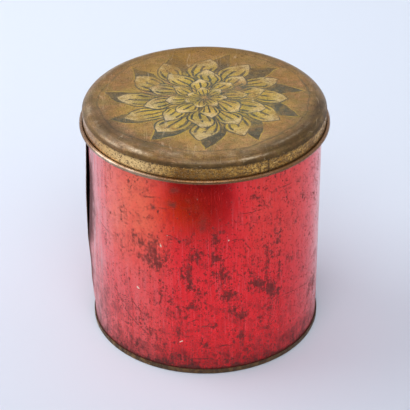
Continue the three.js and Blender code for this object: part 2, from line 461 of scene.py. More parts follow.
class Nodes:
    """Adds and links shader nodes in one node tree."""

    def __init__(self, tree: bpy.types.NodeTree) -> None:
        """Works in the tree."""
        self.tree = tree

    def add(self, kind: str, *values: object, **settings: object) -> Node:
        """Adds a node.

        Args:
            kind: Blender's name of the node's type.
            values: numbers, colours or outputs for its first inputs, None for one left alone.
            settings: properties to set on it.

        Returns:
            The node.
        """
        node = self.tree.nodes.new(kind)
        for key, value in settings.items():
            setattr(node, key, value)
        for socket, value in zip(node.inputs, values):
            if value is not None:
                self.feed(socket, value)
        return node

    def feed(self, socket: Socket, value: object) -> None:
        """Links a socket to an output, or sets its value.

        Args:
            socket: the input.
            value: an output, or a plain value.
        """
        if isinstance(value, bpy.types.NodeSocket):
            self.tree.links.new(value, socket)
        else:
            socket.default_value = value

    def fill(self, node: Node, **values: object) -> Node:
        """Feeds a node's inputs by name.

        Args:
            node: the node.
            values: values or outputs by the inputs' names, with _ for each space.

        Returns:
            The node.
        """
        for label, value in values.items():
            self.feed(node.inputs[label.replace("_", " ")], value)
        return node

    def math(self, operation: str, *values: object, clamp: bool = False) -> Socket:
        """The result of a Math node, kept between 0 and 1 if clamped."""
        return self.add("ShaderNodeMath", *values, operation=operation, use_clamp=clamp).outputs[0]

    def vector(self, operation: str, *values: object, out: int = 0) -> Socket:
        """The result of a Vector Math node: output 0 is a vector, output 1 a number."""
        return self.add("ShaderNodeVectorMath", *values, operation=operation).outputs[out]

    def times(self, *values: object) -> Socket:
        """The product of some values."""
        return reduce(partial(self.math, "MULTIPLY"), values)

    def most(self, *values: object) -> Socket:
        """The largest of some values."""
        return reduce(partial(self.math, "MAXIMUM"), values)

    def minus(self, first: object, second: object, clamp: bool = False) -> Socket:
        """One value less another, kept between 0 and 1 if clamped."""
        return self.math("SUBTRACT", first, second, clamp=clamp)

    def weighted(self, *terms: tuple[object, float], plus: object = 0.0) -> Socket:
        """A value plus a sum of others times their weights."""
        return reduce(lambda total, term: self.math("MULTIPLY_ADD", *term, total), terms, plus)

    def off_middle(self, x: Socket, y: Socket) -> Socket:
        """The distance of a flat place from the middle."""
        return self.math("SQRT", self.math("ADD", self.math("POWER", x, 2.0), self.math("POWER", y, 2.0)))

    def scaled(self, vector: Socket, scale: Triple) -> Socket:
        """A vector scaled along each axis."""
        return self.vector("MULTIPLY_ADD", vector, scale, (0.0, 0.0, 0.0))

    def stretched(self, vector: Socket | Triple, scale: object) -> Socket:
        """A vector made longer by a number."""
        return self.add("ShaderNodeVectorMath", vector, None, None, scale, operation="SCALE").outputs[0]

    def mix(self, factor: object, first: object, second: object) -> Socket:
        """A mix of two colours: a factor of 0 gives the first, 1 the second."""
        values = (factor, *[None] * 5, first, second)
        return self.add("ShaderNodeMix", *values, data_type="RGBA", clamp_factor=True).outputs[2]

    def blend(self, factor: object, first: object, second: object) -> Socket:
        """A mix of two numbers: a factor of 0 gives the first, 1 the second."""
        values = (factor, None, first, second)
        return self.add("ShaderNodeMix", *values, data_type="FLOAT", clamp_factor=True).outputs[0]

    def layers(self, ground: object, *coats: tuple[object, object]) -> Socket:
        """Colours laid over a ground from the bottom up, as pairs of a mask and a colour."""
        return reduce(lambda below, coat: self.mix(coat[0], below, coat[1]), coats, ground)

    def span(
        self, value: object, low: object, high: object, start: object = 0.0, end: object = 1.0
    ) -> Socket:
        """A smooth change from start to end as a value goes from low to high."""
        given = (value, low, high, start, end)
        return self.add("ShaderNodeMapRange", *given, interpolation_type="SMOOTHSTEP").outputs[0]

    def noise(self, place: Socket, count: object, detail: float = 4.0, rough: float = 0.55) -> Socket:
        """Noise of 0 to 1: a count of clouds in a unit, its finer layers and how strong they are."""
        return self.add("ShaderNodeTexNoise", place, None, count, detail, rough).outputs["Fac"]

    def clouds(self, place: Socket, count: float) -> Socket:
        """Three independent cloud values as a vector."""
        return self.add("ShaderNodeTexNoise", place, None, count).outputs["Color"]

    def split(self, vector: Socket) -> list[Socket]:
        """The three parts of a vector."""
        return list(self.add("ShaderNodeSeparateXYZ", vector).outputs)

    def wavering(self, place: Socket, count: float, reach: float) -> Socket:
        """A flat place that wavers by a reach, so many times in a unit, like a hand-drawn line."""
        off = self.vector("SUBTRACT", self.clouds(place, count), (0.5, 0.5, 0.5))
        return self.vector("ADD", place, self.scaled(off, (reach, reach, 0.0)))

    def unrolled(self) -> Socket:
        """Coordinates along the sheet: x round the tin from the front, y along the section."""
        return self.add("ShaderNodeUVMap", uv_map="unrolled").outputs[0]

    def solid(self) -> Socket:
        """The piece's own coordinates in units of 100 mm."""
        return self.scaled(self.add("ShaderNodeTexCoord").outputs["Object"], (10.0, 10.0, 10.0))

    def mark(self, label: str) -> Socket:
        """A value painted on the mesh's points."""
        return self.add("ShaderNodeAttribute", attribute_name=label).outputs["Fac"]

    def effect(self, effect: type["Effect"], out: str = "Mask", **inputs: object) -> Socket:
        """An output of a shared effect, given values or outputs for its inputs."""
        return self.fill(self.add("ShaderNodeGroup", node_tree=effect.tree()), **inputs).outputs[out]


class Effect:
    """A shader node group that several finishes share, built once."""

    vectors: tuple[str, ...] = ("Place",)
    numbers: tuple[str, ...] = ()
    outputs: tuple[str, ...] = ("Mask",)

    @classmethod
    def tree(cls) -> bpy.types.NodeTree:
        """The node group, made at the first call.

        Returns:
            The group.
        """
        tree = bpy.data.node_groups.get(cls.__name__)
        if tree is not None:
            return tree
        tree = bpy.data.node_groups.new(cls.__name__, "ShaderNodeTree")
        sockets = [(label, "INPUT", "NodeSocketVector") for label in cls.vectors]
        sockets += [(label, "INPUT", "NodeSocketFloat") for label in cls.numbers]
        sockets += [(label, "OUTPUT", "NodeSocketFloat") for label in cls.outputs]
        for label, way, kind in sockets:
            tree.interface.new_socket(label, in_out=way, socket_type=kind)
        nodes = Nodes(tree)
        entry = nodes.add("NodeGroupInput")
        nodes.fill(nodes.add("NodeGroupOutput"), **cls.draw(nodes, entry.outputs))
        return tree

    @classmethod
    def draw(cls, nodes: Nodes, given: Given) -> Masks:
        """Builds the effect's nodes.

        Args:
            nodes: the group's nodes.
            given: the group's inputs.

        Returns:
            The socket for each output.
        """
        raise NotImplementedError


class Flecks(Effect):
    """Ragged spots where a coating has gone, from single specks to merged patches."""

    numbers = ("Count", "Cover")

    @classmethod
    def draw(cls, nodes: Nodes, given: Given) -> Masks:
        """Coarse and fine clouds, cut off where the cover says.

        Args:
            nodes: the group's nodes.
            given: the group's inputs.

        Returns:
            The socket for each output.
        """
        coarse = nodes.noise(given["Place"], given["Count"], 5.0, 0.68)
        finer = nodes.noise(given["Place"], nodes.times(given["Count"], 4.3), 3.0, 0.6)
        cloud = nodes.blend(0.42, coarse, finer)
        limit = nodes.weighted((given["Cover"], -0.34), plus=0.67)
        return {"Mask": nodes.span(cloud, limit, nodes.math("ADD", limit, 0.045))}


class Specks(Effect):
    """Small dots where a coating has gone, at most one in each cell of a wavering net."""

    numbers = ("Count", "Share", "Size")

    @classmethod
    def draw(cls, nodes: Nodes, given: Given) -> Masks:
        """A dot of its own size and strength in a share of the cells.

        Args:
            nodes: the group's nodes.
            given: the group's inputs.

        Returns:
            The socket for each output.
        """
        place = nodes.wavering(nodes.stretched(given["Place"], given["Count"]), 1.7, 0.8)
        cells = nodes.add("ShaderNodeTexVoronoi", voronoi_dimensions="2D", feature="F1")
        nodes.fill(cells, Scale=1.0, Vector=place)
        chance, width, depth = nodes.split(cells.outputs["Color"])
        there = nodes.math("LESS_THAN", chance, given["Share"])
        radius = nodes.times(given["Size"], nodes.weighted((width, 0.8), plus=0.45))
        dot = nodes.span(cells.outputs["Distance"], nodes.times(radius, 0.45), radius, 1.0, 0.0)
        return {"Mask": nodes.times(dot, nodes.times(there, nodes.weighted((depth, 0.4), plus=0.6)))}


class Hairlines(Effect):
    """Fine scratches that run mostly along the second direction of the place."""

    numbers = ("Count", "Width")

    @classmethod
    def draw(cls, nodes: Nodes, given: Given) -> Masks:
        """Thin level lines of stretched noise, broken up by a second noise.

        Args:
            nodes: the group's nodes.
            given: the group's inputs.

        Returns:
            The socket for each output.
        """
        cloud = nodes.noise(nodes.scaled(given["Place"], (1.0, 0.06, 1.0)), given["Count"], 2.0, 0.5)
        off = nodes.math("ABSOLUTE", nodes.minus(cloud, 0.5))
        line = nodes.span(off, 0.0, given["Width"], 1.0, 0.0)
        return {"Mask": nodes.times(line, nodes.span(nodes.noise(given["Place"], 14.0, 2.0), 0.45, 0.6))}


class Stroke(Effect):
    """One scratch from a start along a span, bent sideways, thinning out at its ends."""

    vectors = ("Place", "Start", "Span")
    numbers = ("Bend", "Width")

    @classmethod
    def draw(cls, nodes: Nodes, given: Given) -> Masks:
        """The distance to a bowed line, against a ragged width.

        Args:
            nodes: the group's nodes.
            given: the group's inputs.

        Returns:
            The socket for each output.
        """
        span = given["Span"]
        from_start = nodes.vector("SUBTRACT", given["Place"], given["Start"])
        along = nodes.vector("DOT_PRODUCT", from_start, span, out=1)
        share = nodes.math("DIVIDE", along, nodes.vector("DOT_PRODUCT", span, span, out=1), clamp=True)
        foot = nodes.stretched(span, share)
        sideways = nodes.vector("NORMALIZE", nodes.vector("CROSS_PRODUCT", (0.0, 0.0, 1.0), span))
        arch = nodes.times(share, nodes.minus(1.0, share))
        bowed = nodes.stretched(sideways, nodes.times(arch, 4.0, given["Bend"]))
        rest = nodes.vector("SUBTRACT", nodes.vector("SUBTRACT", from_start, foot), bowed)
        rag = nodes.span(nodes.noise(given["Place"], 55.0, 3.0, 0.6), 0.3, 0.7, 0.25, 1.5)
        width = nodes.times(given["Width"], rag, nodes.math("ADD", nodes.times(arch, 2.6), 0.35))
        distance = nodes.vector("LENGTH", rest, out=1)
        return {"Mask": nodes.span(distance, nodes.times(width, 0.35), width, 1.0, 0.0)}


class Mottle(Effect):
    """Cloudy staining of old metal and lacquer, broad and fine together."""

    numbers = ("Count",)
    outputs = ("Broad", "Fine")

    @classmethod
    def draw(cls, nodes: Nodes, given: Given) -> Masks:
        """Two cloud layers with more contrast than plain noise.

        Args:
            nodes: the group's nodes.
            given: the group's inputs.

        Returns:
            The socket for each output.
        """
        broad = nodes.noise(given["Place"], given["Count"], 4.0, 0.6)
        fine = nodes.noise(given["Place"], nodes.times(given["Count"], 9.0), 4.0, 0.65)
        return {"Broad": nodes.span(broad, 0.34, 0.66), "Fine": nodes.span(fine, 0.32, 0.68)}


def new_material(name: str) -> tuple[Material, Nodes, Node]:
    """A new material.

    Args:
        name: its name.

    Returns:
        The material, its nodes and its Principled shader.
    """
    material = bpy.data.materials.new(name)
    material.use_nodes = True
    tree = material.node_tree
    return material, Nodes(tree), tree.nodes["Principled BSDF"]


@dataclass(frozen=True)
class Finish:
    """A material with one Principled shader. Each kind draws its own nodes."""

    name: str
    roughness: float = 0.4
    metallic: float = 0.5
    specular: float = 0.5
    coat: float = 0.0
    coat_roughness: float = 0.15
    worn_roughness: float = 0.65
    worn_metallic: float = 0.2
    relief_depth: float = 0.00003

    def build(self) -> Material:
        """Makes the material, or returns it if it is there already.

        Returns:
            The material.
        """
        made = bpy.data.materials.get(self.name)
        if made is not None:
            return made
        material, nodes, shader = new_material(self.name)
        nodes.fill(
            shader,
            Roughness=self.roughness,
            Metallic=self.metallic,
            Specular_IOR_Level=self.specular,
            Coat_Weight=self.coat,
            Coat_Roughness=self.coat_roughness,
        )
        self.dress(nodes, shader)
        return material

    def dress(self, nodes: Nodes, shader: Node) -> None:
        """Adds what changes over the surface.

        Args:
            nodes: the material's nodes.
            shader: its Principled shader.
        """
        raise NotImplementedError

    def settle(self, nodes: Nodes, shader: Node, tone: Socket, worn: Socket, height: Socket) -> None:
        """Gives the shader a colour, its change where it is worn, and relief.

        Args:
            nodes: the material's nodes.
            shader: its Principled shader.
            tone: the colour.
            worn: where the finish is worn.
            height: the relief.
        """
        nodes.fill(
            shader,
            Base_Color=tone,
            Roughness=nodes.blend(worn, self.roughness, self.worn_roughness),
            Metallic=nodes.blend(worn, self.metallic, self.worn_metallic),
            Normal=self.relief(nodes, height),
        )

    def relief(self, nodes: Nodes, height: Socket) -> Socket:
        """The normal of fine relief, whose height goes from 0 to 1."""
        bump = nodes.fill(nodes.add("ShaderNodeBump"), Strength=1.0, Distance=self.relief_depth)
        return nodes.fill(bump, Height=height).outputs[0]


@dataclass(frozen=True)
class ScratchLine:
    """A scratch on the unrolled wall, in millimetres from the front and from the ground."""

    start: Pair
    end: Pair
    bend: float
    width: float


@dataclass(frozen=True)
class RedLacquer(Finish):
    """Worn, glossy red lacquer on the outside of the wall."""

    specular: float = 0.2
    worn_roughness: float = 0.6
    worn_metallic: float = 0.06
    red: Shade = srgb(255, 42, 48)
    deep_red: Shade = srgb(242, 20, 30)
    pink: Shade = srgb(255, 92, 98)
    # orange of the painted highlight on the left and the right of the wall
    highlight_orange: Shade = srgb(255, 110, 78)
    bronze: Shade = srgb(234, 62, 8)
    # pale pink of scuffing and of painted sheen near the wall's edges
    haze: Shade = srgb(226, 168, 168)
    maroon: Shade = srgb(92, 18, 24)
    stain: Shade = srgb(98, 58, 46)
    smudge: Shade = srgb(176, 26, 30)
    bare: Shade = srgb(92, 54, 48)
    dark_bare: Shade = srgb(46, 28, 26)
    chip: Shade = srgb(250, 224, 196)
    chips: tuple[ScratchLine, ...] = ()

    def dress(self, nodes: Nodes, shader: Node) -> None:
        """Lacquer with a fine upright grain, worn to brown metal in specks, patches and scratches.

        Args:
            nodes: the material's nodes.
            shader: its Principled shader.
        """
        place = nodes.unrolled()
        fine = nodes.effect(Mottle, "Fine", Place=place, Count=7.0)
        grain = nodes.noise(nodes.scaled(place, (1.0, 0.03, 1.0)), 150.0, 4.0, 0.7)
        streak = nodes.noise(nodes.scaled(place, (1.0, 0.1, 1.0)), 34.0, 4.0, 0.65)
        smudge = nodes.noise(nodes.scaled(place, (1.0, 0.7, 1.0)), 19.0, 6.0, 0.72)
        shaded = self._shaded(nodes, smudge)
        stained = self._stained(nodes, place)
        worn = self._worn(nodes, place, streak)
        tone = nodes.layers(
            self._coat(nodes, place, fine, grain, streak, smudge),
            # painted shadow beside the seam, and darker maroon lacquer towards the foot, from the shade mark
            (shaded, nodes.mix(nodes.times(fine, 0.6), self.maroon, self.bare)),
            (stained, self.stain),
            (nodes.times(worn, 0.92), nodes.mix(fine, self.bare, self.dark_bare)),
            (nodes.most(0.0, *(self._line(nodes, place, line) for line in self.chips)), self.chip),
        )
        rough = nodes.weighted((grain, 0.16), (nodes.mark("haze"), 0.2), plus=self.roughness - 0.08)
        dull = nodes.most(worn, nodes.times(stained, 0.5), shaded)
        less_metallic = nodes.most(dull, nodes.times(nodes.mark("fade"), 0.3))
        bared = nodes.most(dull, nodes.times(nodes.mark("bronze"), 0.9))
        nodes.fill(
            shader,
            Base_Color=tone,
            Roughness=nodes.blend(dull, rough, self.worn_roughness),
            Metallic=nodes.blend(less_metallic, self.metallic, self.worn_metallic),
            Coat_Weight=nodes.blend(bared, self.coat, 0.0),
            Normal=self.relief(nodes, nodes.minus(nodes.times(grain, 0.3), worn)),
        )

    def _coat(
        self, nodes: Nodes, place: Socket, fine: Socket, grain: Socket, streak: Socket, smudge: Socket
    ) -> Socket:
        """The lacquer's own colour.

        Args:
            nodes: the material's nodes.
            place: place on the unrolled wall.
            fine: small clouds.
            grain: fine upright lines.
            streak: wider upright streaks.
            smudge: clouds that darken it.

        Returns:
            The colour before wear.
        """
        broad = nodes.effect(Mottle, "Broad", Place=place, Count=5.0)
        return nodes.layers(
            self.red,
            (nodes.times(broad, 0.3), self.deep_red),
            (nodes.span(grain, 0.45, 0.66, 0.0, 0.75), self.deep_red),
            (nodes.times(fine, 0.2), self.deep_red),
            (nodes.span(grain, 0.34, 0.47, 0.6, 0.0), self.pink),
            # painted highlight: lighter orange lacquer on the left and the right
            (nodes.times(nodes.mark("fade"), nodes.span(broad, 0.0, 1.0, 1.0, 0.7)), self.highlight_orange),
            (nodes.times(nodes.mark("bronze"), nodes.span(fine, 0.0, 1.0, 0.6, 1.0)), self.bronze),
            (nodes.span(smudge, 0.5, 0.66, 0.0, 0.4), self.smudge),
            # scuffing and painted sheen: pale pink near the wall's edges
            (nodes.times(nodes.mark("haze"), nodes.span(streak, 0.3, 0.65, 1.0, 0.45)), self.haze),
        )

    @staticmethod
    def _shaded(nodes: Nodes, smudge: Socket) -> Socket:
        """Where the lacquer is painted darker: a painted shadow beside the seam, and darker towards the
        lower left and the foot, cloudy where it thins out.

        Args:
            nodes: the material's nodes.
            smudge: the clouds.

        Returns:
            The mask.
        """
        mark = nodes.mark("shade")
        edge = nodes.times(mark, nodes.minus(1.0, mark))
        return nodes.math("MULTIPLY_ADD", edge, nodes.weighted((smudge, 9.0), plus=-4.5), mark, clamp=True)

    @staticmethod
    def _stained(nodes: Nodes, place: Socket) -> Socket:
        """Where the listed stains lie, with cloudy edges."""
        clouds = nodes.minus(nodes.noise(place, 34.0, 6.0, 0.75), 0.5)
        return nodes.span(nodes.weighted((clouds, 1.1), plus=nodes.mark("stain")), 0.15, 0.95, 0.0, 0.85)

    @staticmethod
    def _worn(nodes: Nodes, place: Socket, streak: Socket) -> Socket:
        """Where the lacquer has gone: dots, spots, patches, hairlines and scratches.

        Args:
            nodes: the material's nodes.
            place: place on the unrolled wall.
            streak: upright streaks, which the dots follow.

        Returns:
            The mask.
        """
        wear = nodes.mark("wear")
        calm = nodes.span(nodes.mark("calm"), 0.05, 0.55, 1.0, 0.06)
        crowd = nodes.times(nodes.span(nodes.noise(place, 9.0, 4.0, 0.65), 0.45, 0.6), calm)
        runs = nodes.times(nodes.span(streak, 0.44, 0.62), nodes.weighted((calm, 0.2), (crowd, 0.8)))
        drawn = nodes.scaled(place, (1.0, 0.7, 1.0))
        share = nodes.weighted((calm, 0.12), (crowd, 0.14), (runs, 0.55), (wear, 0.6))
        dots = nodes.effect(Specks, Place=drawn, Count=125.0, Share=share, Size=0.5)
        share = nodes.weighted((runs, 0.15), (wear, 0.7), plus=0.01)
        spots = nodes.effect(Specks, Place=drawn, Count=52.0, Share=share, Size=0.46)
        cover = nodes.weighted((calm, 0.06), (crowd, 0.16), (runs, 0.32), (wear, 0.8))
        patches = nodes.effect(Flecks, Place=drawn, Count=58.0, Cover=cover)
        worn = nodes.times(
            nodes.most(dots, nodes.times(spots, 0.9), nodes.times(patches, 0.88)),
            nodes.span(nodes.mark("haze"), 0.2, 0.8, 1.0, 0.45),
            nodes.span(nodes.mark("fade"), 0.3, 0.9, 1.0, 0.97),
        )
        hair = nodes.effect(Hairlines, Place=place, Count=60.0, Width=0.012)
        ragged = nodes.span(nodes.noise(place, 70.0, 3.0, 0.6), 0.35, 0.65, 0.2, 1.5)
        off = nodes.math("DIVIDE", nodes.math("ABSOLUTE", nodes.mark("scratch")), ragged)
        line = nodes.times(nodes.span(off, 0.2, 0.85, 0.85, 0.0), nodes.mark("scratch_reach"))
        return nodes.most(worn, nodes.times(hair, 0.45), line)

    @staticmethod
    def _line(nodes: Nodes, place: Socket, line: ScratchLine) -> Socket:
        """The mask of one scratch line.

        Args:
            nodes: the material's nodes.
            place: place on the unrolled wall.
            line: the line.

        Returns:
            The mask.
        """
        start = tuple(v * UV_UNIT for v in line.start)
        span = tuple((b - a) * UV_UNIT for a, b in zip(line.start, line.end))
        sizes = {"Bend": line.bend * UV_UNIT, "Width": line.width * UV_UNIT}
        return nodes.effect(Stroke, Place=place, Start=(*start, 0.0), Span=(*span, 0.0), **sizes)


@dataclass(frozen=True)
class PetalRing:
    """A ring of printed petals or leaves that point outwards, sizes in millimetres."""

    count: int
    near: float
    far: float
    half: float
    swirl: float
    turn: float = 0.0
    fullness: float = 1.5
    line: float = 1.3
    strokes: float = 0.75

    def draw(
        self, nodes: Nodes, radius: Socket, angle: Socket, ragged: Socket
    ) -> tuple[Socket, Socket, Socket]:
        """The ring's masks.

        Args:
            nodes: the material's nodes.
            radius: distance from the middle.
            angle: angle round it in radians.
            ragged: small clouds that break up the strokes.

        Returns:
            Masks of the petals' bodies, of their outlines and strokes, and of their tips.
        """
        pitch = 2 * math.pi / self.count
        swept = nodes.weighted((radius, self.swirl), plus=angle)
        turned = nodes.math("ADD", nodes.math("DIVIDE", swept, pitch), self.turn + 50.0)
        local = nodes.times(nodes.minus(nodes.math("FRACT", turned), 0.5), pitch)
        along = nodes.times(radius, nodes.math("COSINE", local))
        across = nodes.math("ABSOLUTE", nodes.times(radius, nodes.math("SINE", local)))
        from_foot = nodes.minus(along, self.near * UV_UNIT)
        share = nodes.math("DIVIDE", from_foot, (self.far - self.near) * UV_UNIT, clamp=True)
        swell = nodes.math("SINE", nodes.times(nodes.math("POWER", share, self.fullness), math.pi))
        half = nodes.times(swell, self.half * UV_UNIT)
        inside = nodes.minus(half, across)
        body = nodes.span(inside, 0.0, 0.004)
        width = self.line * UV_UNIT
        outline = nodes.span(inside, width * 0.7, width * 1.3, 1.0, 0.0)
        beside = nodes.math("DIVIDE", across, nodes.most(half, 0.001))
        comb = nodes.span(nodes.math("COSINE", nodes.times(beside, 11.0)), 0.35, 0.75)
        reach = nodes.weighted((ragged, 0.5), plus=self.strokes - 0.25)
        strokes = nodes.times(comb, nodes.span(nodes.minus(reach, share), 0.0, 0.06))
        wash = nodes.span(share, 0.0, 0.6, 0.7, 0.0)
        lines = nodes.times(body, nodes.most(outline, strokes, wash))
        return body, lines, nodes.times(body, nodes.span(share, 0.55, 0.95))


@dataclass(frozen=True)
class LidClouds:
    """The place on the lid and the clouds that its layers share."""

    place: Socket
    radius: Socket
    height: Socket
    broad: Socket
    blots: Socket
    fine: Socket
    grain: Socket
    rub: Socket


@dataclass(frozen=True)
class CopperPrint(Finish):
    """Copper-brown lacquer of the lid's top, with a blossom printed on it and worn by rubbing."""

    specular: float = 0.15
    copper: Shade = srgb(166, 120, 54)
    tan: Shade = srgb(190, 148, 82)
    brown: Shade = srgb(98, 75, 36)
    pale: Shade = srgb(242, 216, 178)
    shade: Shade = srgb(90, 65, 36)
    soot_and_shade: Shade = srgb(54, 39, 18)
    slate: Shade = srgb(62, 82, 74)
    deep_slate: Shade = srgb(38, 54, 52)
    ochre: Shade = srgb(226, 190, 68)
    olive: Shade = srgb(168, 150, 62)
    moss: Shade = srgb(122, 108, 52)
    mauve: Shade = srgb(128, 98, 82)
    rust: Shade = srgb(150, 82, 44)
    peach: Shade = srgb(208, 146, 94)
    amber: Shade = srgb(150, 108, 30)
    gloss: float = 0.32
    wash_radius: float = 36.0
    edge_radius: float = 55.5
    lip_radius: float = 62.0
    leaves: PetalRing = PetalRing(
        11, near=22.0, far=54.5, half=8.0, swirl=0.8, turn=0.5, fullness=0.8, line=0.9, strokes=0.3
    )
    petals: tuple[PetalRing, ...] = (
        PetalRing(12, near=14.0, far=46.0, half=8.4, swirl=0.7),
        PetalRing(10, near=8.0, far=34.0, half=7.2, swirl=-0.6, turn=0.4),
        PetalRing(8, near=3.0, far=23.0, half=6.2, swirl=0.5, turn=0.2),
        PetalRing(
            7, near=0.5, far=12.0, half=4.0, swirl=0.0, turn=0.6, fullness=1.3, line=0.8, strokes=0.7
        ),
    )

    def dress(self, nodes: Nodes, shader: Node) -> None:
        """Stained ground, worn print, and a darker shoulder worn by rubbing, with painted shade and painted
        highlights on it.

        Args:
            nodes: the material's nodes.
            shader: its Principled shader.
        """
        place = nodes.solid()
        x, y, height = nodes.split(place)
        clouds = LidClouds(
            place=place,
            radius=nodes.off_middle(x, y),
            height=height,
            broad=nodes.effect(Mottle, "Broad", Place=place, Count=3.4),
            blots=nodes.effect(Mottle, "Broad", Place=place, Count=11.0),
            fine=nodes.effect(Mottle, "Fine", Place=place, Count=9.0),
            grain=nodes.noise(place, 190.0, 3.0, 0.7),
            rub=nodes.noise(place, 7.0, 7.0, 0.75),
        )
        bent = nodes.span(clouds.radius, self.edge_radius * UV_UNIT, self.lip_radius * UV_UNIT)
        flecks = nodes.effect(Flecks, Place=place, Count=60.0, Cover=0.34)
        slanted = nodes.scaled(place, (0.6, 1.0, 1.0))
        hair = nodes.effect(Hairlines, Place=slanted, Count=18.0, Width=0.008)
        printed = self._printed(nodes, clouds, self._ground(nodes, clouds))
        tone = nodes.layers(
            self._shoulder(nodes, clouds, bent, printed),
            (nodes.times(flecks, 0.7), self.soot_and_shade),
            (nodes.span(clouds.grain, 0.46, 0.66, 0.0, 0.7), self.shade),
            (nodes.times(hair, 0.2), self.pale),
        )
        rough = nodes.weighted((clouds.fine, 0.16), plus=self.roughness - 0.08)
        nodes.fill(
            shader,
            Base_Color=tone,
            Roughness=nodes.blend(flecks, rough, self.worn_roughness),
            Coat_Weight=nodes.times(bent, nodes.minus(1.0, nodes.mark("soot_and_shade")), self.gloss),
            Normal=self.relief(nodes, nodes.minus(clouds.grain, flecks)),
        )

    def _ground(self, nodes: Nodes, clouds: LidClouds) -> Socket:
        """The stained lacquer under the print.

        Args:
            nodes: the material's nodes.
            clouds: the lid's clouds.

        Returns:
            The colour.
        """
        near, middle, far = nodes.split(nodes.clouds(clouds.place, 4.2))
        stains = nodes.noise(clouds.place, 5.0, 5.0, 0.65)
        spots = nodes.noise(clouds.place, 30.0, 4.0, 0.7)
        wash = nodes.span(clouds.radius, self.wash_radius * UV_UNIT, self.edge_radius * UV_UNIT, 0.4, 0.0)
        return nodes.layers(
            self.copper,
            (nodes.span(clouds.broad, 0.2, 0.8), self.tan),
            (nodes.span(stains, 0.5, 0.64, 0.0, 0.6), self.brown),
            (nodes.times(clouds.blots, 0.5), self.brown),
            (nodes.span(near, 0.34, 0.46, 0.6, 0.0), self.moss),
            (nodes.span(middle, 0.5, 0.66, 0.0, 0.4), self.rust),
            (nodes.span(far, 0.52, 0.64, 0.0, 0.5), self.mauve),
            (nodes.span(spots, 0.5, 0.62, 0.0, 0.55), self.peach),
            (nodes.span(spots, 0.38, 0.48, 0.5, 0.0), self.moss),
            (nodes.times(clouds.fine, 0.12), self.pale),
            (nodes.times(wash, nodes.span(near, 0.42, 0.6)), self.ochre),
        )

    def _printed(self, nodes: Nodes, clouds: LidClouds, ground: Socket) -> Socket:
        """The print, worn by rubbing, over its ground.

        Args:
            nodes: the material's nodes.
            clouds: the lid's clouds.
            ground: the colour under the print.

        Returns:
            The colour.
        """
        drawn = nodes.wavering(nodes.wavering(clouds.place, 3.0, 0.1), 15.0, 0.022)
        slate, ochre, pale = self._blossom(nodes, drawn)
        kept = nodes.span(clouds.rub, 0.36, 0.54, 0.1, 1.0)
        ink = nodes.times(kept, nodes.span(clouds.fine, 0.0, 1.0, 1.0, 0.75))
        bits = nodes.span(nodes.noise(clouds.place, 46.0, 4.0, 0.75), 0.36, 0.56, 0.6, 1.0)
        firm = nodes.times(slate, nodes.times(bits, nodes.span(clouds.rub, 0.3, 0.48, 0.3, 1.0)))
        return nodes.layers(
            ground,
            (nodes.times(ochre, ink, 0.85), nodes.mix(clouds.blots, self.ochre, self.olive)),
            (nodes.times(pale, nodes.times(ink, bits), 0.7), self.pale),
            (firm, nodes.mix(clouds.broad, self.slate, self.deep_slate)),
            (nodes.span(clouds.grain, 0.28, 0.44, 0.4, 0.0), self.pale),
        )

    def _blossom(self, nodes: Nodes, drawn: Socket) -> tuple[Socket, Socket, Socket]:
        """The printed design: a full blossom on a ring of leaves, in a thin ring.

        Args:
            nodes: the material's nodes.
            drawn: place on the lid, wavering like a hand-drawn line.

        Returns:
            Masks of the slate, the ochre and the pale ink.
        """
        x, y, _ = nodes.split(drawn)
        radius = nodes.off_middle(x, y)
        angle = nodes.math("ARCTAN2", y, x)
        ragged = nodes.noise(drawn, 26.0, 2.0)
        body, ochre, _ = self.leaves.draw(nodes, radius, angle, ragged)
        slate = nodes.minus(body, ochre, clamp=True)
        pale: object = 0.0
        for ring in self.petals:
            body, lines, tips = ring.draw(nodes, radius, angle, ragged)
            behind = nodes.minus(1.0, body)
            slate = nodes.math("MULTIPLY_ADD", slate, behind, lines)
            ochre = nodes.math("MULTIPLY_ADD", ochre, behind, nodes.minus(body, lines, clamp=True))
            pale = nodes.math("MULTIPLY_ADD", pale, behind, tips)
        off = nodes.math("ABSOLUTE", nodes.minus(radius, self.edge_radius * UV_UNIT))
        return nodes.most(slate, nodes.span(off, 0.003, 0.008, 0.6, 0.0)), ochre, pale

    def _shoulder(self, nodes: Nodes, clouds: LidClouds, bent: Socket, tone: Socket) -> Socket:
        """The dark, streaked shoulder, and what the mesh marks: sooty smearing with painted shade, ageing,
        and wear from rubbing with painted highlights.

        Args:
            nodes: the material's nodes.
            clouds: the lid's clouds.
            bent: where the shoulder is.
            tone: the printed colour.

        Returns:
            The colour.
        """
        across = nodes.stretched((0.0, 0.0, 1.0), nodes.minus(clouds.radius, clouds.height))
        drawn = nodes.vector("ADD", nodes.scaled(clouds.place, (0.08, 0.08, 0.0)), across)
        streaks = nodes.noise(drawn, 80.0, 5.0, 0.68)
        rim = nodes.times(bent, nodes.span(clouds.blots, 0.0, 1.0, 0.4, 1.0))
        return nodes.layers(
            tone,
            (nodes.times(rim, 0.72), self.shade),
            (nodes.times(bent, nodes.span(streaks, 0.5, 0.64, 0.0, 0.6)), self.soot_and_shade),
            (nodes.times(bent, nodes.span(streaks, 0.34, 0.46, 0.4, 0.0)), self.tan),
            (nodes.times(nodes.mark("aged"), nodes.span(clouds.rub, 0.36, 0.62, 1.25, 0.6)), self.amber),
            # sooty smearing, and painted shade on the right and front of the shoulder and along the lip
            (nodes.times(nodes.mark("soot_and_shade"), nodes.span(clouds.rub, 0.3, 0.62, 0.55, 1.0)), self.soot_and_shade),
            # wear from rubbing, and painted highlights along the front of the shoulder and near the lip
            (nodes.times(nodes.mark("rub_and_highlight"), nodes.span(clouds.rub, 0.4, 0.6)), self.pale),
        )


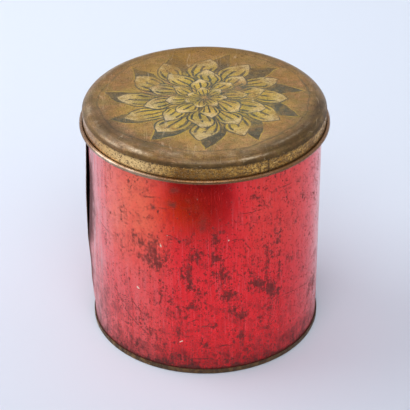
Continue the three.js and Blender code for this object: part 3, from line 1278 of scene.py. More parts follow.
@dataclass(frozen=True)
class GoldLacquer(Finish):
    """Speckled gold lacquer of the lid's skirt."""

    gold: Shade = srgb(248, 194, 100)
    tan: Shade = srgb(176, 134, 94)
    dull: Shade = srgb(178, 122, 46)
    # colour of the painted highlight band and the painted glints
    bright: Shade = srgb(255, 216, 154)
    speck: Shade = srgb(70, 50, 26)
    dirt_and_shade: Shade = srgb(56, 40, 24)

    def dress(self, nodes: Nodes, shader: Node) -> None:
        """Gold with dense dark specks; painted shade along its edges, soiling along its lap, a painted
        highlight band on the front-left and painted glints.

        Args:
            nodes: the material's nodes.
            shader: its Principled shader.
        """
        place = nodes.unrolled()
        broad = nodes.effect(Mottle, "Broad", Place=place, Count=8.0)
        fine = nodes.effect(Mottle, "Fine", Place=place, Count=14.0)
        rub_and_highlight, smooth = nodes.mark("rub_and_highlight"), nodes.mark("smooth")
        # painted glints: bright specks scattered over the gold
        glints = nodes.span(nodes.noise(place, 130.0, 3.0, 0.7), 0.53, 0.64, 0.0, 0.75)
        drawn = nodes.scaled(place, (0.75, 1.0, 1.0))
        kept = nodes.minus(1.0, smooth)
        share = nodes.times(nodes.span(broad, 0.0, 1.0, 0.5, 0.85), kept)
        dots = nodes.effect(Specks, Place=drawn, Count=120.0, Share=share, Size=0.62)
        cover = nodes.weighted((kept, 0.52), (rub_and_highlight, -0.22))
        specks = nodes.most(dots, nodes.effect(Flecks, Place=drawn, Count=70.0, Cover=cover))
        tone = nodes.layers(
            self.gold,
            (broad, self.dull),
            (nodes.times(fine, 0.4), self.dull),
            # painted highlight: a paler band on the front-left, and the glints
            (nodes.most(rub_and_highlight, glints), self.bright),
            (smooth, self.tan),
            (nodes.times(specks, 0.85), self.speck),
            # painted shade along the skirt's edges and on its rolled edge, and soiling along the lap
            (nodes.times(nodes.mark("grime_and_shade"), nodes.span(fine, 0.0, 1.0, 0.7, 0.95)), self.dirt_and_shade),
        )
        self.settle(nodes, shader, tone, specks, nodes.minus(1.0, specks))


@dataclass(frozen=True)
class StainedMetal(Finish):
    """Old bare metal: stained sheet, wire or solder."""

    worn_roughness: float = 0.7
    relief_depth: float = 0.00004
    light: Shade = srgb(150, 146, 140)
    dark: Shade = srgb(96, 88, 80)
    stain: Shade = srgb(88, 58, 38)
    stain_cover: float = 0.4
    count: float = 9.0

    def dress(self, nodes: Nodes, shader: Node) -> None:
        """Cloudy grey with brown stains and fine pitting.

        Args:
            nodes: the material's nodes.
            shader: its Principled shader.
        """
        place = nodes.solid()
        broad = nodes.effect(Mottle, "Broad", Place=place, Count=self.count)
        fine = nodes.effect(Mottle, "Fine", Place=place, Count=self.count)
        stains = nodes.effect(Flecks, Place=place, Count=self.count * 2, Cover=self.stain_cover)
        # this mark gives soiling, and painted shade on the base rim and the lid's rolled edge
        grime_and_shade = nodes.times(nodes.mark("grime_and_shade"), nodes.span(fine, 0.0, 1.0, 1.0, 0.8))
        tone = nodes.layers(
            self.light,
            (broad, self.dark),
            (nodes.times(fine, 0.35), self.dark),
            (nodes.most(nodes.times(stains, 0.75), grime_and_shade), self.stain),
        )
        self.settle(nodes, shader, tone, stains, nodes.minus(fine, stains))


@dataclass(frozen=True)
class TinSizes:
    """Sizes that the tin's pieces share, in millimetres."""

    sheet: float = 0.35
    seat_gap: float = 0.3
    lid_slack: float = 0.1
    body_radius: float = 63.0
    body_height: float = 130.8
    body_curl: float = 0.75
    shoulder_radius: float = 7.0
    curl_sweep: float = 290.0

    @property
    def wall_middle(self) -> float:
        """Radius of the wall's middle."""
        return self.body_radius - self.sheet / 2

    @property
    def wall_inside(self) -> float:
        """Radius of the wall's inner face."""
        return self.body_radius - self.sheet

    @property
    def body_curl_z(self) -> float:
        """Height of the middle of the rim's curl."""
        return self.body_height - self.body_curl - self.sheet / 2

    @property
    def skirt_inside(self) -> float:
        """Radius of the lid skirt's inner face."""
        return self.body_radius + 2 * self.body_curl + self.seat_gap + self.lid_slack

    @property
    def shoulder_r(self) -> float:
        """Radius of the centre of the lid's shoulder."""
        return self.skirt_inside + 2 * self.sheet + self.seat_gap - self.shoulder_radius

    @property
    def flange_radius(self) -> float:
        """Radius of the skirt's flange round the shoulder's centre."""
        return self.shoulder_radius - 1.5 * self.sheet - self.seat_gap

    @property
    def shoulder_z(self) -> float:
        """Height of the centre of the lid's shoulder, from the flange's place on the rim's curl.

        Returns:
            The height.
        """
        reach = self.flange_radius - self.sheet - self.seat_gap - self.body_curl
        beside = self.wall_middle + self.body_curl - self.shoulder_r
        return self.body_curl_z - math.sqrt(reach**2 - beside**2)

    @property
    def lid_top(self) -> float:
        """Height of the lid's top."""
        return self.shoulder_z + self.shoulder_radius


def adopt(piece: Piece, node: str, body: Body) -> None:
    """Puts a piece in the place of a solid.

    Args:
        piece: the new piece.
        node: the solid that it stands for.
        body: the body that it moves with.
    """
    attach(piece, body.value)
    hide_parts(node)
    log.info("made %s for %s, %d faces", piece.name, node, len(piece.data.polygons))


@dataclass
class WallWear:
    """What time has done to the wall's lacquer, and the painted highlights, sheen and shade on it, at each
    point of the wall's grid.
    """

    angle: Array
    z: Array
    body_radius: float
    lap_end: float
    patches: tuple[Spot, ...]
    stains: tuple[Spot, ...]
    scratches: tuple[ScratchLine, ...]
    patch_strength: float = 0.8
    worn_edge: float = 2.2
    front_wear: Spot = Spot(5.0, 55.0, 45.0, 32.0, 0.12)
    browned: Spot = Spot(-12.0, 104.0, 16.0, 15.0, 0.85)
    kept_skin: Spot = Spot(-3.0, 107.0, 24.0, 14.0)
    # painted highlight bands on the left and the right, and painted sheen on the far right
    highlight_left: Band = Band((202.0, 224.0), (238.0, 258.0))
    highlight_right: Band = Band((280.0, 300.0), (318.0, 338.0), 0.2)
    sheen_right: Band = Band((336.0, 356.0), (370.0, 420.0), 0.2)

    def __post_init__(self) -> None:
        """Works out lengths along the wall from the front."""
        self.around = np.radians(self.angle - FRONT) * self.body_radius

    def _wear(self) -> Array:
        """How worn the lacquer is: the patches, the front, the foot, the lap's free edge and the rim.

        Returns:
            The wear, 0 to 1.
        """
        wear = self.patch_strength * strongest(self.patches, self.around, self.z)
        wear = wear + self.front_wear.at(self.around, self.z)
        foot = np.maximum(0.5 * ebb(self.z, 2.5, 10.0), 0.95 * ebb(self.z, 2.8, 5.2))
        edge_start = self.lap_end - math.degrees(self.worn_edge / self.body_radius)
        edge = 0.5 * ease(self.angle, edge_start, self.lap_end)
        rim = 0.45 * ease(self.z, 118.0, 126.0)
        return highest(wear, foot, edge, rim)

    def _scratch(self) -> tuple[Array, Array]:
        """Where the listed scratches run.

        Returns:
            The signed distance to the nearest scratch in half widths, and how strong it is there.
        """
        shape = np.broadcast(self.around, self.z).shape
        nearest = np.full(shape, 4.0)
        reach = np.zeros(shape)
        for line in self.scratches:
            span = np.subtract(line.end, line.start)
            length = float(np.hypot(*span))
            x, y = self.around - line.start[0], self.z - line.start[1]
            share = (x * span[0] + y * span[1]) / length**2
            bow = 4 * line.bend * np.clip(share * (1 - share), 0.0, 1.0)
            off = ((y * span[0] - x * span[1]) / length - bow) / line.width
            end = max(0.12, 1.2 / length)
            taper = Band((-end, end), (1 - end, 1 + end)).at(share)
            closer = (taper > 0) & (np.abs(off) < np.abs(nearest))
            nearest = np.where(closer, off, nearest)
            reach = np.where(closer, taper, reach)
        return nearest, reach

    def _painted_highlight(self) -> Array:
        """Where a painted highlight makes the lacquer lighter and orange: most on the left, towards the top,
        and a little on the right.
        """
        left = self.highlight_left.at(self.angle) * (0.15 + 0.85 * ease(self.z, 45.0, 95.0))
        return left + self.highlight_right.at(self.angle) * ease(self.z, 50.0, 90.0)

    def _scuff_and_sheen(self) -> Array:
        """How scuffed and pale the lacquer is: scuffing on both sides of the seam and low on the left, with
        painted sheen beside the seam's front side, and painted sheen on the far right.

        Returns:
            The scuffing and sheen, 0 to 1.
        """
        beside = 0.75 * ebb(self.angle, 198.0, 219.0) + 0.25 * ebb(self.angle, 215.0, 236.0)
        low = 0.28 * ebb(self.angle, 232.0, 262.0) * ebb(self.z, 45.0, 88.0)
        left = np.maximum(beside, low) * ease(self.angle, 187.0, 196.0)
        behind = 0.35 * ease(self.angle, 495.0, 536.0)
        haze = highest(left, behind, self.sheen_right.at(self.angle))
        return haze * (0.8 + 0.2 * ease(self.z, 10.0, 60.0))

    def _shade(self) -> Array:
        """How dark the wall is painted: a painted shadow beside the open part of the seam, and darker
        towards the lower left and towards the foot.

        Returns:
            How dark, 0 to 1.
        """
        middle = 194.0 + 5.0 * ease(self.z, 50.0, 68.0)
        strength = 0.4 + 0.6 * ease(self.z, 12.0, 40.0) - 0.5 * ease(self.z, 98.0, 114.0)
        seam = strength * ebb(self.angle, middle - 5.0, middle + 5.0)
        low = 0.36 * ebb(self.angle, 208.0, 248.0) * ebb(self.z, 25.0, 60.0)
        foot = 0.5 * ebb(self.z, 3.0, 27.0) + 0.1 * ebb(self.z, 30.0, 62.0)
        return highest(seam, low, foot)

    def marks(self) -> dict[str, Array]:
        """What the red lacquer reads from the wall's points.

        Returns:
            The values of each mark.
        """
        scratch, reach = self._scratch()
        return {
            "wear": self._wear(),
            "fade": self._painted_highlight(),
            "bronze": self.browned.at(self.around, self.z),
            "calm": self.kept_skin.at(self.around, self.z),
            "haze": self._scuff_and_sheen(),
            "shade": self._shade(),
            "stain": strongest(self.stains, self.around, self.z),
            "scratch": scratch,
            "scratch_reach": reach,
        }


@dataclass
class TinBody:
    """The lower part: wall with its side seam, base and solder."""

    sizes: TinSizes
    patches: tuple[Spot, ...] = ()
    stains: tuple[Spot, ...] = ()
    scratches: tuple[ScratchLine, ...] = ()
    seam_angle: float = 183.5
    lap_width: float = 8.8
    lap_notch_low: float = 9.0
    lap_notch_top: float = 3.8
    joggle_width: float = 6.6
    sprung_width: float = 44.0
    sprung_reach: float = 2.5
    sprung_low: float = 1.4
    sprung_from: float = 4.0
    low_full: float = 26.0
    grows_from: float = 30.0
    sprung_full: float = 54.0
    eased_from: float = 55.0
    eased_full: float = 12.0
    lap_room: float = 0.65
    parted_from: float = 36.0
    parted_full: float = 104.0
    held_width: float = 33.0
    narrow_from: float = 35.0
    base_recess: float = 3.0
    base_rim_height: float = 2.9
    base_shoulder: float = 1.2
    base_fold: float = 0.4
    solder_width: float = 2.6
    solder_thickness: float = 0.5
    solder_height: float = 30.0
    solder_bead: float = 0.05
    base_solder_rise: float = 1.5
    base_solder_bevel: float = 0.12
    round_sides: int = 240
    lap_steps: int = 6
    seen_end: float = 350.0
    seen_columns: int = 170
    far_columns: int = 110
    low_rows: int = 8
    high_rows: int = 112
    free_wall: Band = Band((5.0, 22.0), (104.0, 120.0))
    wall_dents: Ripples = Ripples(seed=5, waves=7, reach=0.03)
    panel_dents: Ripples = Ripples(seed=11, waves=5, reach=0.03)
    rim_dents: Ripples = Ripples(seed=12, waves=6, reach=0.012)

    def __post_init__(self) -> None:
        """Works out where the side seam lies."""
        self.lap_end = self.seam_angle + 360
        self.lap_start = self.seam_angle - self.along(self.lap_width)
        butt = self.along(self.sizes.seat_gap)
        self.inner_lap_end = self.seam_angle + butt
        self.outer_lap_start = self.lap_start + 360 - butt
        self.outer_lap_top = self.sizes.body_height - self.lap_notch_top
        first, last = self.lap_start, self.outer_lap_start
        self.off_seam = Band((first + 8, first + 40), (last - 40, last - 8))

    def along(self, width: float) -> float:
        """The angle of a length along the wall."""
        return math.degrees(width / self.sizes.body_radius)

    def seam_offset(self, angle: Array, z: Array) -> Array:
        """How far the wall lies outside its circle near the seam.

        Args:
            angle: angles along the sheet.
            z: heights.

        Returns:
            The offsets.
        """
        top = self.outer_lap_top
        eased_reach = self.sizes.skirt_inside - self.lap_room - self.sizes.body_radius
        eased = ease(z, top - self.eased_from, top - self.eased_full)
        low = self.sprung_low * ease(z, self.sprung_from, self.low_full)
        high = self.sprung_reach + (eased_reach - self.sprung_reach) * eased
        reach = low + (high - low) * ease(z, self.grows_from, self.sprung_full)
        narrowed = ease(z, top - self.narrow_from, top)
        root = self.outer_lap_start - self.along(self.sprung_width) * (1 - narrowed)
        full = self.outer_lap_start + (self.lap_end - self.outer_lap_start) * narrowed
        bow = reach * ease(angle, root, full)
        beside = ebb(angle, self.inner_lap_end, self.inner_lap_end + self.along(self.held_width))
        held = reach * beside * ebb(z, self.parted_from, self.parted_full)
        stepped = ebb(angle, self.inner_lap_end, self.inner_lap_end + self.along(self.joggle_width))
        step = (self.sizes.sheet + self.sizes.seat_gap) * stepped
        joggle = step * ease(z, self.lap_notch_low / 2, self.lap_notch_low)
        return np.where(z > top + 1e-6, 0.0, bow + held - joggle)

    def _unevenness(self, angle: Array, z: Array) -> Array:
        """Soft dents of the wall, none where the base and the lid hold it or at the seam."""
        return self.wall_dents.at(angle, z) * (self.free_wall.at(z) * self.off_seam.at(angle))

    def wall(self, outside: Material, inside: Material, edge: Material) -> None:
        """The wall: one sheet with a lapped seam, a plain foot and a curled rim.

        Args:
            outside: material of the outer face.
            inside: material of the inner face.
            edge: material of the cut edges.
        """
        sizes = self.sizes
        path = SheetPath(sizes.wall_middle, sizes.sheet + sizes.seat_gap, 90)
        path.straight(self.lap_notch_low - path.z, self.low_rows)
        path.straight(self.outer_lap_top - path.z, self.high_rows)
        path.straight(sizes.body_curl_z - path.z, steps=3)
        path.bend(sizes.body_curl, -sizes.curl_sweep, steps=14)
        top_row = self.low_rows + self.high_rows

        joggle_end = self.inner_lap_end + self.along(self.joggle_width)
        stops = (
            (self.lap_start, self.inner_lap_end, self.lap_steps),
            (self.inner_lap_end, joggle_end, self.lap_steps),
            (joggle_end, self.seen_end, self.seen_columns),
            (self.seen_end, self.outer_lap_start, self.far_columns),
        )
        parts = [np.linspace(*stop, endpoint=False) for stop in stops]
        parts.append(np.linspace(self.outer_lap_start, self.lap_end, self.lap_steps + 1))
        angles = np.concatenate(parts)
        outer_lap = len(angles) - 1 - self.lap_steps

        def filled(i: int, j: int) -> bool:
            """Whether a cell is there: the inner lap is cut low down, the outer lap at its top."""
            return not (i < self.lap_steps and j < self.low_rows) and not (i >= outer_lap and j >= top_row)

        def offset(angle: Array, _r: Array, z: Array) -> Array:
            """The seam's shape and the sheet's unevenness, below the rim."""
            push = self.seam_offset(angle, z) + self._unevenness(angle, z)
            return np.where(np.arange(z.shape[1])[None, :] > top_row, 0.0, push)

        lists = (self.patches, self.stains, self.scratches)
        wear = WallWear(angles[:, None], path.table()[None, :, 1], sizes.body_radius, self.lap_end, *lists)
        grid = SheetGrid(
            "wall",
            path,
            angles,
            sizes.sheet,
            offset,
            whole_turn=False,
            filled=filled,
            uv_radius=sizes.body_radius,
            marks=wear.marks(),
        )
        piece = grid.build({Side.RIGHT: outside, Side.LEFT: inside, Side.EDGE: edge})
        adopt(piece, "body_wall", Body.TIN)

    def base(self, metal: Material, inside: Material) -> None:
        """The base: a recessed panel with its edge folded round the wall's foot.

        Args:
            metal: material of the outside.
            inside: material of the face inside the tin.
        """
        sizes = self.sizes
        inner = sizes.wall_inside - sizes.seat_gap - sizes.sheet / 2
        outer = sizes.body_radius + sizes.seat_gap + sizes.sheet / 2
        path = SheetPath(0.0, self.base_recess + sizes.sheet / 2, 0)
        path.straight(inner - self.base_shoulder, steps=14)
        path.bend(self.base_shoulder, -90, steps=6)
        path.straight(path.z - self.base_fold - sizes.sheet / 2)
        path.bend(self.base_fold, 90, steps=5)
        path.straight(outer - inner - 2 * self.base_fold)
        path.bend(self.base_fold, 90, steps=5)
        path.straight(self.base_rim_height - path.z, steps=4)

        def offset(angle: Array, r: Array, z: Array) -> Array:
            """A gently bulging panel and a slightly uneven rim."""
            panel = self.panel_dents.at(angle, r) * ebb(r, 40.0, 58.0) * ease(r, 4.0, 20.0)
            return panel + self.rim_dents.at(angle, z) * ease(r, outer - 0.1, outer) * ease(z, 1.0, 2.0)

        angles = full_turn(self.round_sides)
        panel_dirt = 0.3
        # painted shade: the base rim is darker at the front and on the right
        rim_shade = 0.5 * ease(angles, 222.0, 262.0) + 0.3 * ease(angles, 290.0, 330.0)
        on_rim = ease(path.table()[None, :, 0], inner - 4.0, inner)
        dirt_and_shade = panel_dirt + (rim_shade[:, None] - panel_dirt) * on_rim
        grid = SheetGrid("base", path, angles, sizes.sheet, offset, marks={"grime_and_shade": dirt_and_shade})
        piece = grid.build({Side.RIGHT: metal, Side.LEFT: inside, Side.EDGE: metal})
        adopt(piece, "base_end", Body.TIN)

    def seam_solder(self, metal: Material) -> None:
        """The solder up the seam, inside.

        Args:
            metal: material of the solder.
        """
        sizes = self.sizes
        middle = sizes.wall_middle - sizes.sheet / 2 - sizes.seat_gap - self.solder_thickness / 2
        path = SheetPath(middle, self.lap_notch_low, 90).straight(self.solder_height, steps=40)
        last = self.outer_lap_start
        angles = np.linspace(last - self.along(self.solder_width), last, 9)

        def follow(angle: Array, _r: Array, z: Array) -> Array:
            """The wall's own shape behind the strip, drawn back a little in places."""
            bead = self.solder_bead * (1 + np.sin(z * 1.9 + np.radians(angle) * 40)) * ease(z, 9.5, 11.0)
            return self.seam_offset(angle, z) - bead

        thickness = self.solder_thickness
        grid = SheetGrid("seam_solder", path, angles, thickness, follow, whole_turn=False)
        adopt(grid.build({s: metal for s in Side}), "side_seam_solder", Body.TIN)

    def base_solder(self, metal: Material) -> None:
        """The solder round the base, inside, between panel and wall.

        Args:
            metal: material of the solder.
        """
        sizes = self.sizes
        inner = sizes.wall_inside - sizes.seat_gap - sizes.sheet / 2
        centre = (inner - self.base_shoulder, self.base_recess + sizes.sheet / 2 - self.base_shoulder)
        radius = self.base_shoulder + sizes.sheet / 2 + sizes.seat_gap
        outside = sizes.wall_inside - sizes.seat_gap
        bed = arc(centre, radius, np.linspace(math.pi / 2, math.acos((outside - centre[0]) / radius), 8))
        top = self.base_recess + sizes.sheet + self.base_solder_rise
        bevel = self.base_solder_bevel
        face = [(outside, top - bevel), (outside - bevel, top)]
        slope = [(outside - bevel - 1.1 * t, top - 0.5 * t - 0.45 * t * t) for t in (0.3, 0.6, 0.85)]
        ring = ring_mesh("base_solder_run", bed + face + slope, self.round_sides, metal, seed=21)
        adopt(ring, "base_solder", Body.TIN)


@dataclass
class Lid:
    """The slip-on lid: pressed top, skirt with a rolled edge, wire and solder."""

    sizes: TinSizes
    # sooty smearing, and painted shade on the right and front of the shoulder
    smears_and_shade: tuple[RoundSpot, ...] = ()
    # pale streaks: wear from rubbing, and painted highlights along the front of the shoulder
    streaks: tuple[RoundSpot, ...] = ()
    depth: float = 13.7
    lip_elevation: float = 22.0
    flange_elevation: float = 62.0
    curl: float = 1.0
    solder_reach: float = 2.2
    solder_thickness: float = 0.45
    lap_angle: float = 297.5
    lap_width: float = 4.2
    lap_rise: float = 0.16
    lap_slope: float = 0.12
    round_sides: int = 300
    lap_columns: int = 12
    curl_steps: int = 18
    dents: Ripples = Ripples(seed=31, waves=6, reach=0.03)
    lip_dents: Ripples = Ripples(seed=32, waves=8, reach=0.008)
    yellowed: RoundSpot = RoundSpot(90.0, 0.0, 60.0, math.inf, 0.65)
    # The first of the two bands below is a painted highlight on the front-left of the skirt, paler and less
    # speckled.
    # the skirt's angles start at its lap, so these two lie past the whole turn
    painted_highlight_band: Band = Band((568.0, 590.0), (600.0, 618.0), 0.65)
    plain: Band = Band((510.0, 532.0), (565.0, 588.0), 0.75)
    # painted shade of the rolled edge on the far left
    roll_shade_left: Band = Band((120.0, 160.0), (204.0, 220.0), 0.8)

    @property
    def curl_z(self) -> float:
        """Height of the middle of the rolled edge."""
        return self.sizes.lid_top - self.depth + self.curl + self.sizes.sheet / 2

    @property
    def skirt_middle(self) -> float:
        """Radius of the skirt's middle."""
        return self.sizes.skirt_inside + self.sizes.sheet / 2

    def top(self, outside: Material, inside: Material, edge: Material) -> None:
        """The pressed top with its rounded shoulder.

        Args:
            outside: material of the upper face.
            inside: material of the underside.
            edge: material of the lip's cut edge.
        """
        sizes = self.sizes
        path = SheetPath(0.0, sizes.lid_top - sizes.sheet / 2, 0)
        path.straight(sizes.shoulder_r, steps=22)
        path.bend(sizes.shoulder_radius - sizes.sheet / 2, self.lip_elevation - 90, steps=22)

        def offset(angle: Array, r: Array, _z: Array) -> Array:
            """Soft dents in the flat panel and an uneven lip. Positive is down."""
            panel = (self.dents.at(angle, r) + self.dents.reach) * ease(r, 2.0, 18.0) * ebb(r, 50.0, 58.0)
            return np.maximum(panel, 0.0) + self.lip_dents.at(angle, r) * ease(r, 63.0, 65.0)

        angles = full_turn(self.round_sides)
        marks = self._top_marks(angles[:, None], path.table()[None, :, 4])
        grid = SheetGrid("lid_top_disc", path, angles, sizes.sheet, offset, marks=marks)
        piece = grid.build({Side.RIGHT: inside, Side.LEFT: outside, Side.EDGE: edge})
        adopt(piece, "lid_top", Body.LID)

    def _top_marks(self, angle: Array, reach: Array) -> dict[str, Array]:
        """What the print reads from the top's points.

        Args:
            angle: angles in degrees.
            reach: distance from the middle along the sheet.

        Returns:
            How each point is marked, 0 to 1: sooty smearing with painted shade, yellowing, and wear from
                rubbing with painted highlights.
        """
        # painted shade along the lip, strongest from the front round to the right
        lip = (0.35 + 0.5 * ease(angle % 360, 222.0, 250.0)) * ease(reach, 63.6, 66.2)
        back = self.yellowed.at(angle, reach) * ease(reach, 24.0, 50.0)
        return {
            "soot_and_shade": np.maximum(strongest(self.smears_and_shade, angle, reach), lip),
            "aged": back + 0.2 * ease(reach, 20.0, 50.0),
            "rub_and_highlight": strongest(self.streaks, angle, reach),
        }

    def skirt(self, outside: Material, inside: Material, edge: Material, roll: Material) -> None:
        """The skirt: flange under the shoulder, hoop, and lower edge rolled outwards.

        Args:
            outside: material of the outer face.
            inside: material of the inner face.
            edge: material of the cut edges.
            roll: material of the rolled edge's outer side.
        """
        sizes = self.sizes
        elevation = math.radians(self.flange_elevation)
        start_r = sizes.shoulder_r + sizes.flange_radius * math.cos(elevation)
        start_z = sizes.shoulder_z + sizes.flange_radius * math.sin(elevation)
        path = SheetPath(start_r, start_z, self.flange_elevation - 90)
        path.bend(sizes.flange_radius, -self.flange_elevation, steps=10)
        path.straight(path.z - self.curl_z, steps=10)
        path.bend(self.curl, sizes.curl_sweep, self.curl_steps)

        half = math.degrees(self.lap_width / 2 / self.skirt_middle)
        step = math.degrees(self.lap_slope / self.skirt_middle)
        first, last = self.lap_angle - half, self.lap_angle + half
        hoop = Band((self.curl_z, self.curl_z + 0.8), (sizes.shoulder_z, sizes.shoulder_z + 1.0))
        on_lap = np.linspace(first, last, self.lap_columns)
        angles = np.append(on_lap, np.linspace(last + step, first - step + 360, self.round_sides))

        def offset(angle: Array, _r: Array, z: Array) -> Array:
            """The hoop's lap, which stands out a little. Negative is outwards."""
            raised = (angle >= first - 1e-6) & (angle <= last + 1e-6)
            return np.where(raised, -self.lap_rise * hoop.at(z), 0.0)

        table = path.table()
        curl_row = len(table) - 1 - self.curl_steps
        grid = SheetGrid(
            "lid_hoop",
            path,
            angles,
            sizes.sheet,
            offset,
            uv_radius=self.skirt_middle,
            roll_row=curl_row - 1,
            marks={
                # painted shade along the hoop's edges and on the rolled edge, and soiling along the lap
                "grime_and_shade": self._skirt_grime_and_shade(angles, table[:, 1], curl_row, (first, last)),
                # a painted highlight band on the front-left of the skirt
                "rub_and_highlight": self.painted_highlight_band.at(angles)[:, None],
                "smooth": self.plain.at(angles)[:, None],
            },
        )
        piece = grid.build({Side.RIGHT: inside, Side.LEFT: outside, Side.EDGE: edge, Side.ROLL: roll})
        adopt(piece, "lid_skirt", Body.LID)

    def _skirt_grime_and_shade(self, angles: Array, z: Array, curl_row: int, lap: Pair) -> Array:
        """How dark the skirt is made: a painted shadow under the shoulder, painted shade in the groove above
        the rolled edge, soiling along its lap, and painted shade on the rolled edge.

        Args:
            angles: angles of the columns.
            z: heights of the rows.
            curl_row: the row at which the rolled edge starts.
            lap: angles of the lap's edges.

        Returns:
            How dark, 0 to 1.
        """
        sizes = self.sizes
        # painted shade in the groove above the rolled edge, and a painted shadow under the shoulder
        low = ebb(z, self.curl_z + 0.2, self.curl_z + 2.6)
        high = ease(z, sizes.shoulder_z + 1.0, sizes.shoulder_z + 2.2)
        off_lap = np.minimum(np.abs(angles - lap[0]), np.abs(angles - lap[1]))
        crack = ebb(off_lap * math.radians(self.skirt_middle), 0.1, 0.5)
        dirt_and_shade = highest(low[None, :], high[None, :], crack[:, None])
        turned = angles % 360
        # painted shade on the rolled edge: darker at the front, on the right and on the far left
        browned = np.where(turned < 90, ebb(turned, 20.0, 80.0), ease(turned, 228.0, 256.0))
        browned = np.maximum(browned, self.roll_shade_left.at(turned))
        # painted shade on the underside of the rolled edge
        below = 0.6 * ebb(np.arange(self.curl_steps + 1), 9.0, 14.0)
        dirt_and_shade[:, curl_row:] = np.maximum(browned[:, None], below[None, :])
        return dirt_and_shade

    def wire(self, metal: Material) -> None:
        """The wire in the rolled edge.

        Args:
            metal: its material.
        """
        radius = self.curl - self.sizes.sheet / 2 - self.sizes.seat_gap
        centre = (self.skirt_middle + self.curl, self.curl_z)
        section = arc(centre, radius, np.linspace(0, 2 * math.pi, 12, endpoint=False))
        ring = ring_mesh("rim_wire", section, self.round_sides, metal, seed=3)
        adopt(ring, "lid_rim_wire", Body.WIRE)

    def solder(self, metal: Material) -> None:
        """The solder under the shoulder.

        Args:
            metal: its material.
        """
        sizes = self.sizes
        centre = (sizes.shoulder_r, sizes.shoulder_z)
        radius = sizes.shoulder_radius - sizes.sheet - sizes.seat_gap
        low = math.radians(self.flange_elevation) + sizes.seat_gap / radius
        high = low + self.solder_reach / radius
        section = arc(centre, radius - self.solder_thickness, [low])
        section += arc(centre, radius, np.linspace(low, high, 5))
        for reach, depth in ((0.6, 0.35), (0.25, 0.8)):
            section += arc(centre, radius - self.solder_thickness * depth, [low + (high - low) * reach])
        ring = ring_mesh("lid_solder_run", section, self.round_sides, metal, seed=9)
        adopt(ring, "lid_solder", Body.LID)


@dataclass(frozen=True)
class Lamp:
    """A square lamp, in metres, watts and degrees."""

    name: str
    place: Triple
    aim: Triple
    size: float
    power: float
    spread: float = 180.0

    def build(self) -> None:
        """Hangs the lamp in the scene."""
        data = bpy.data.lights.new(self.name, "AREA")
        data.size = self.size
        data.energy = self.power
        data.spread = math.radians(self.spread)
        lamp = put_in_scene(self.name, data)
        lamp.location = self.place
        lamp.rotation_mode = "QUATERNION"
        lamp.rotation_quaternion = (Vector(self.aim) - Vector(self.place)).to_track_quat("-Z", "Y")


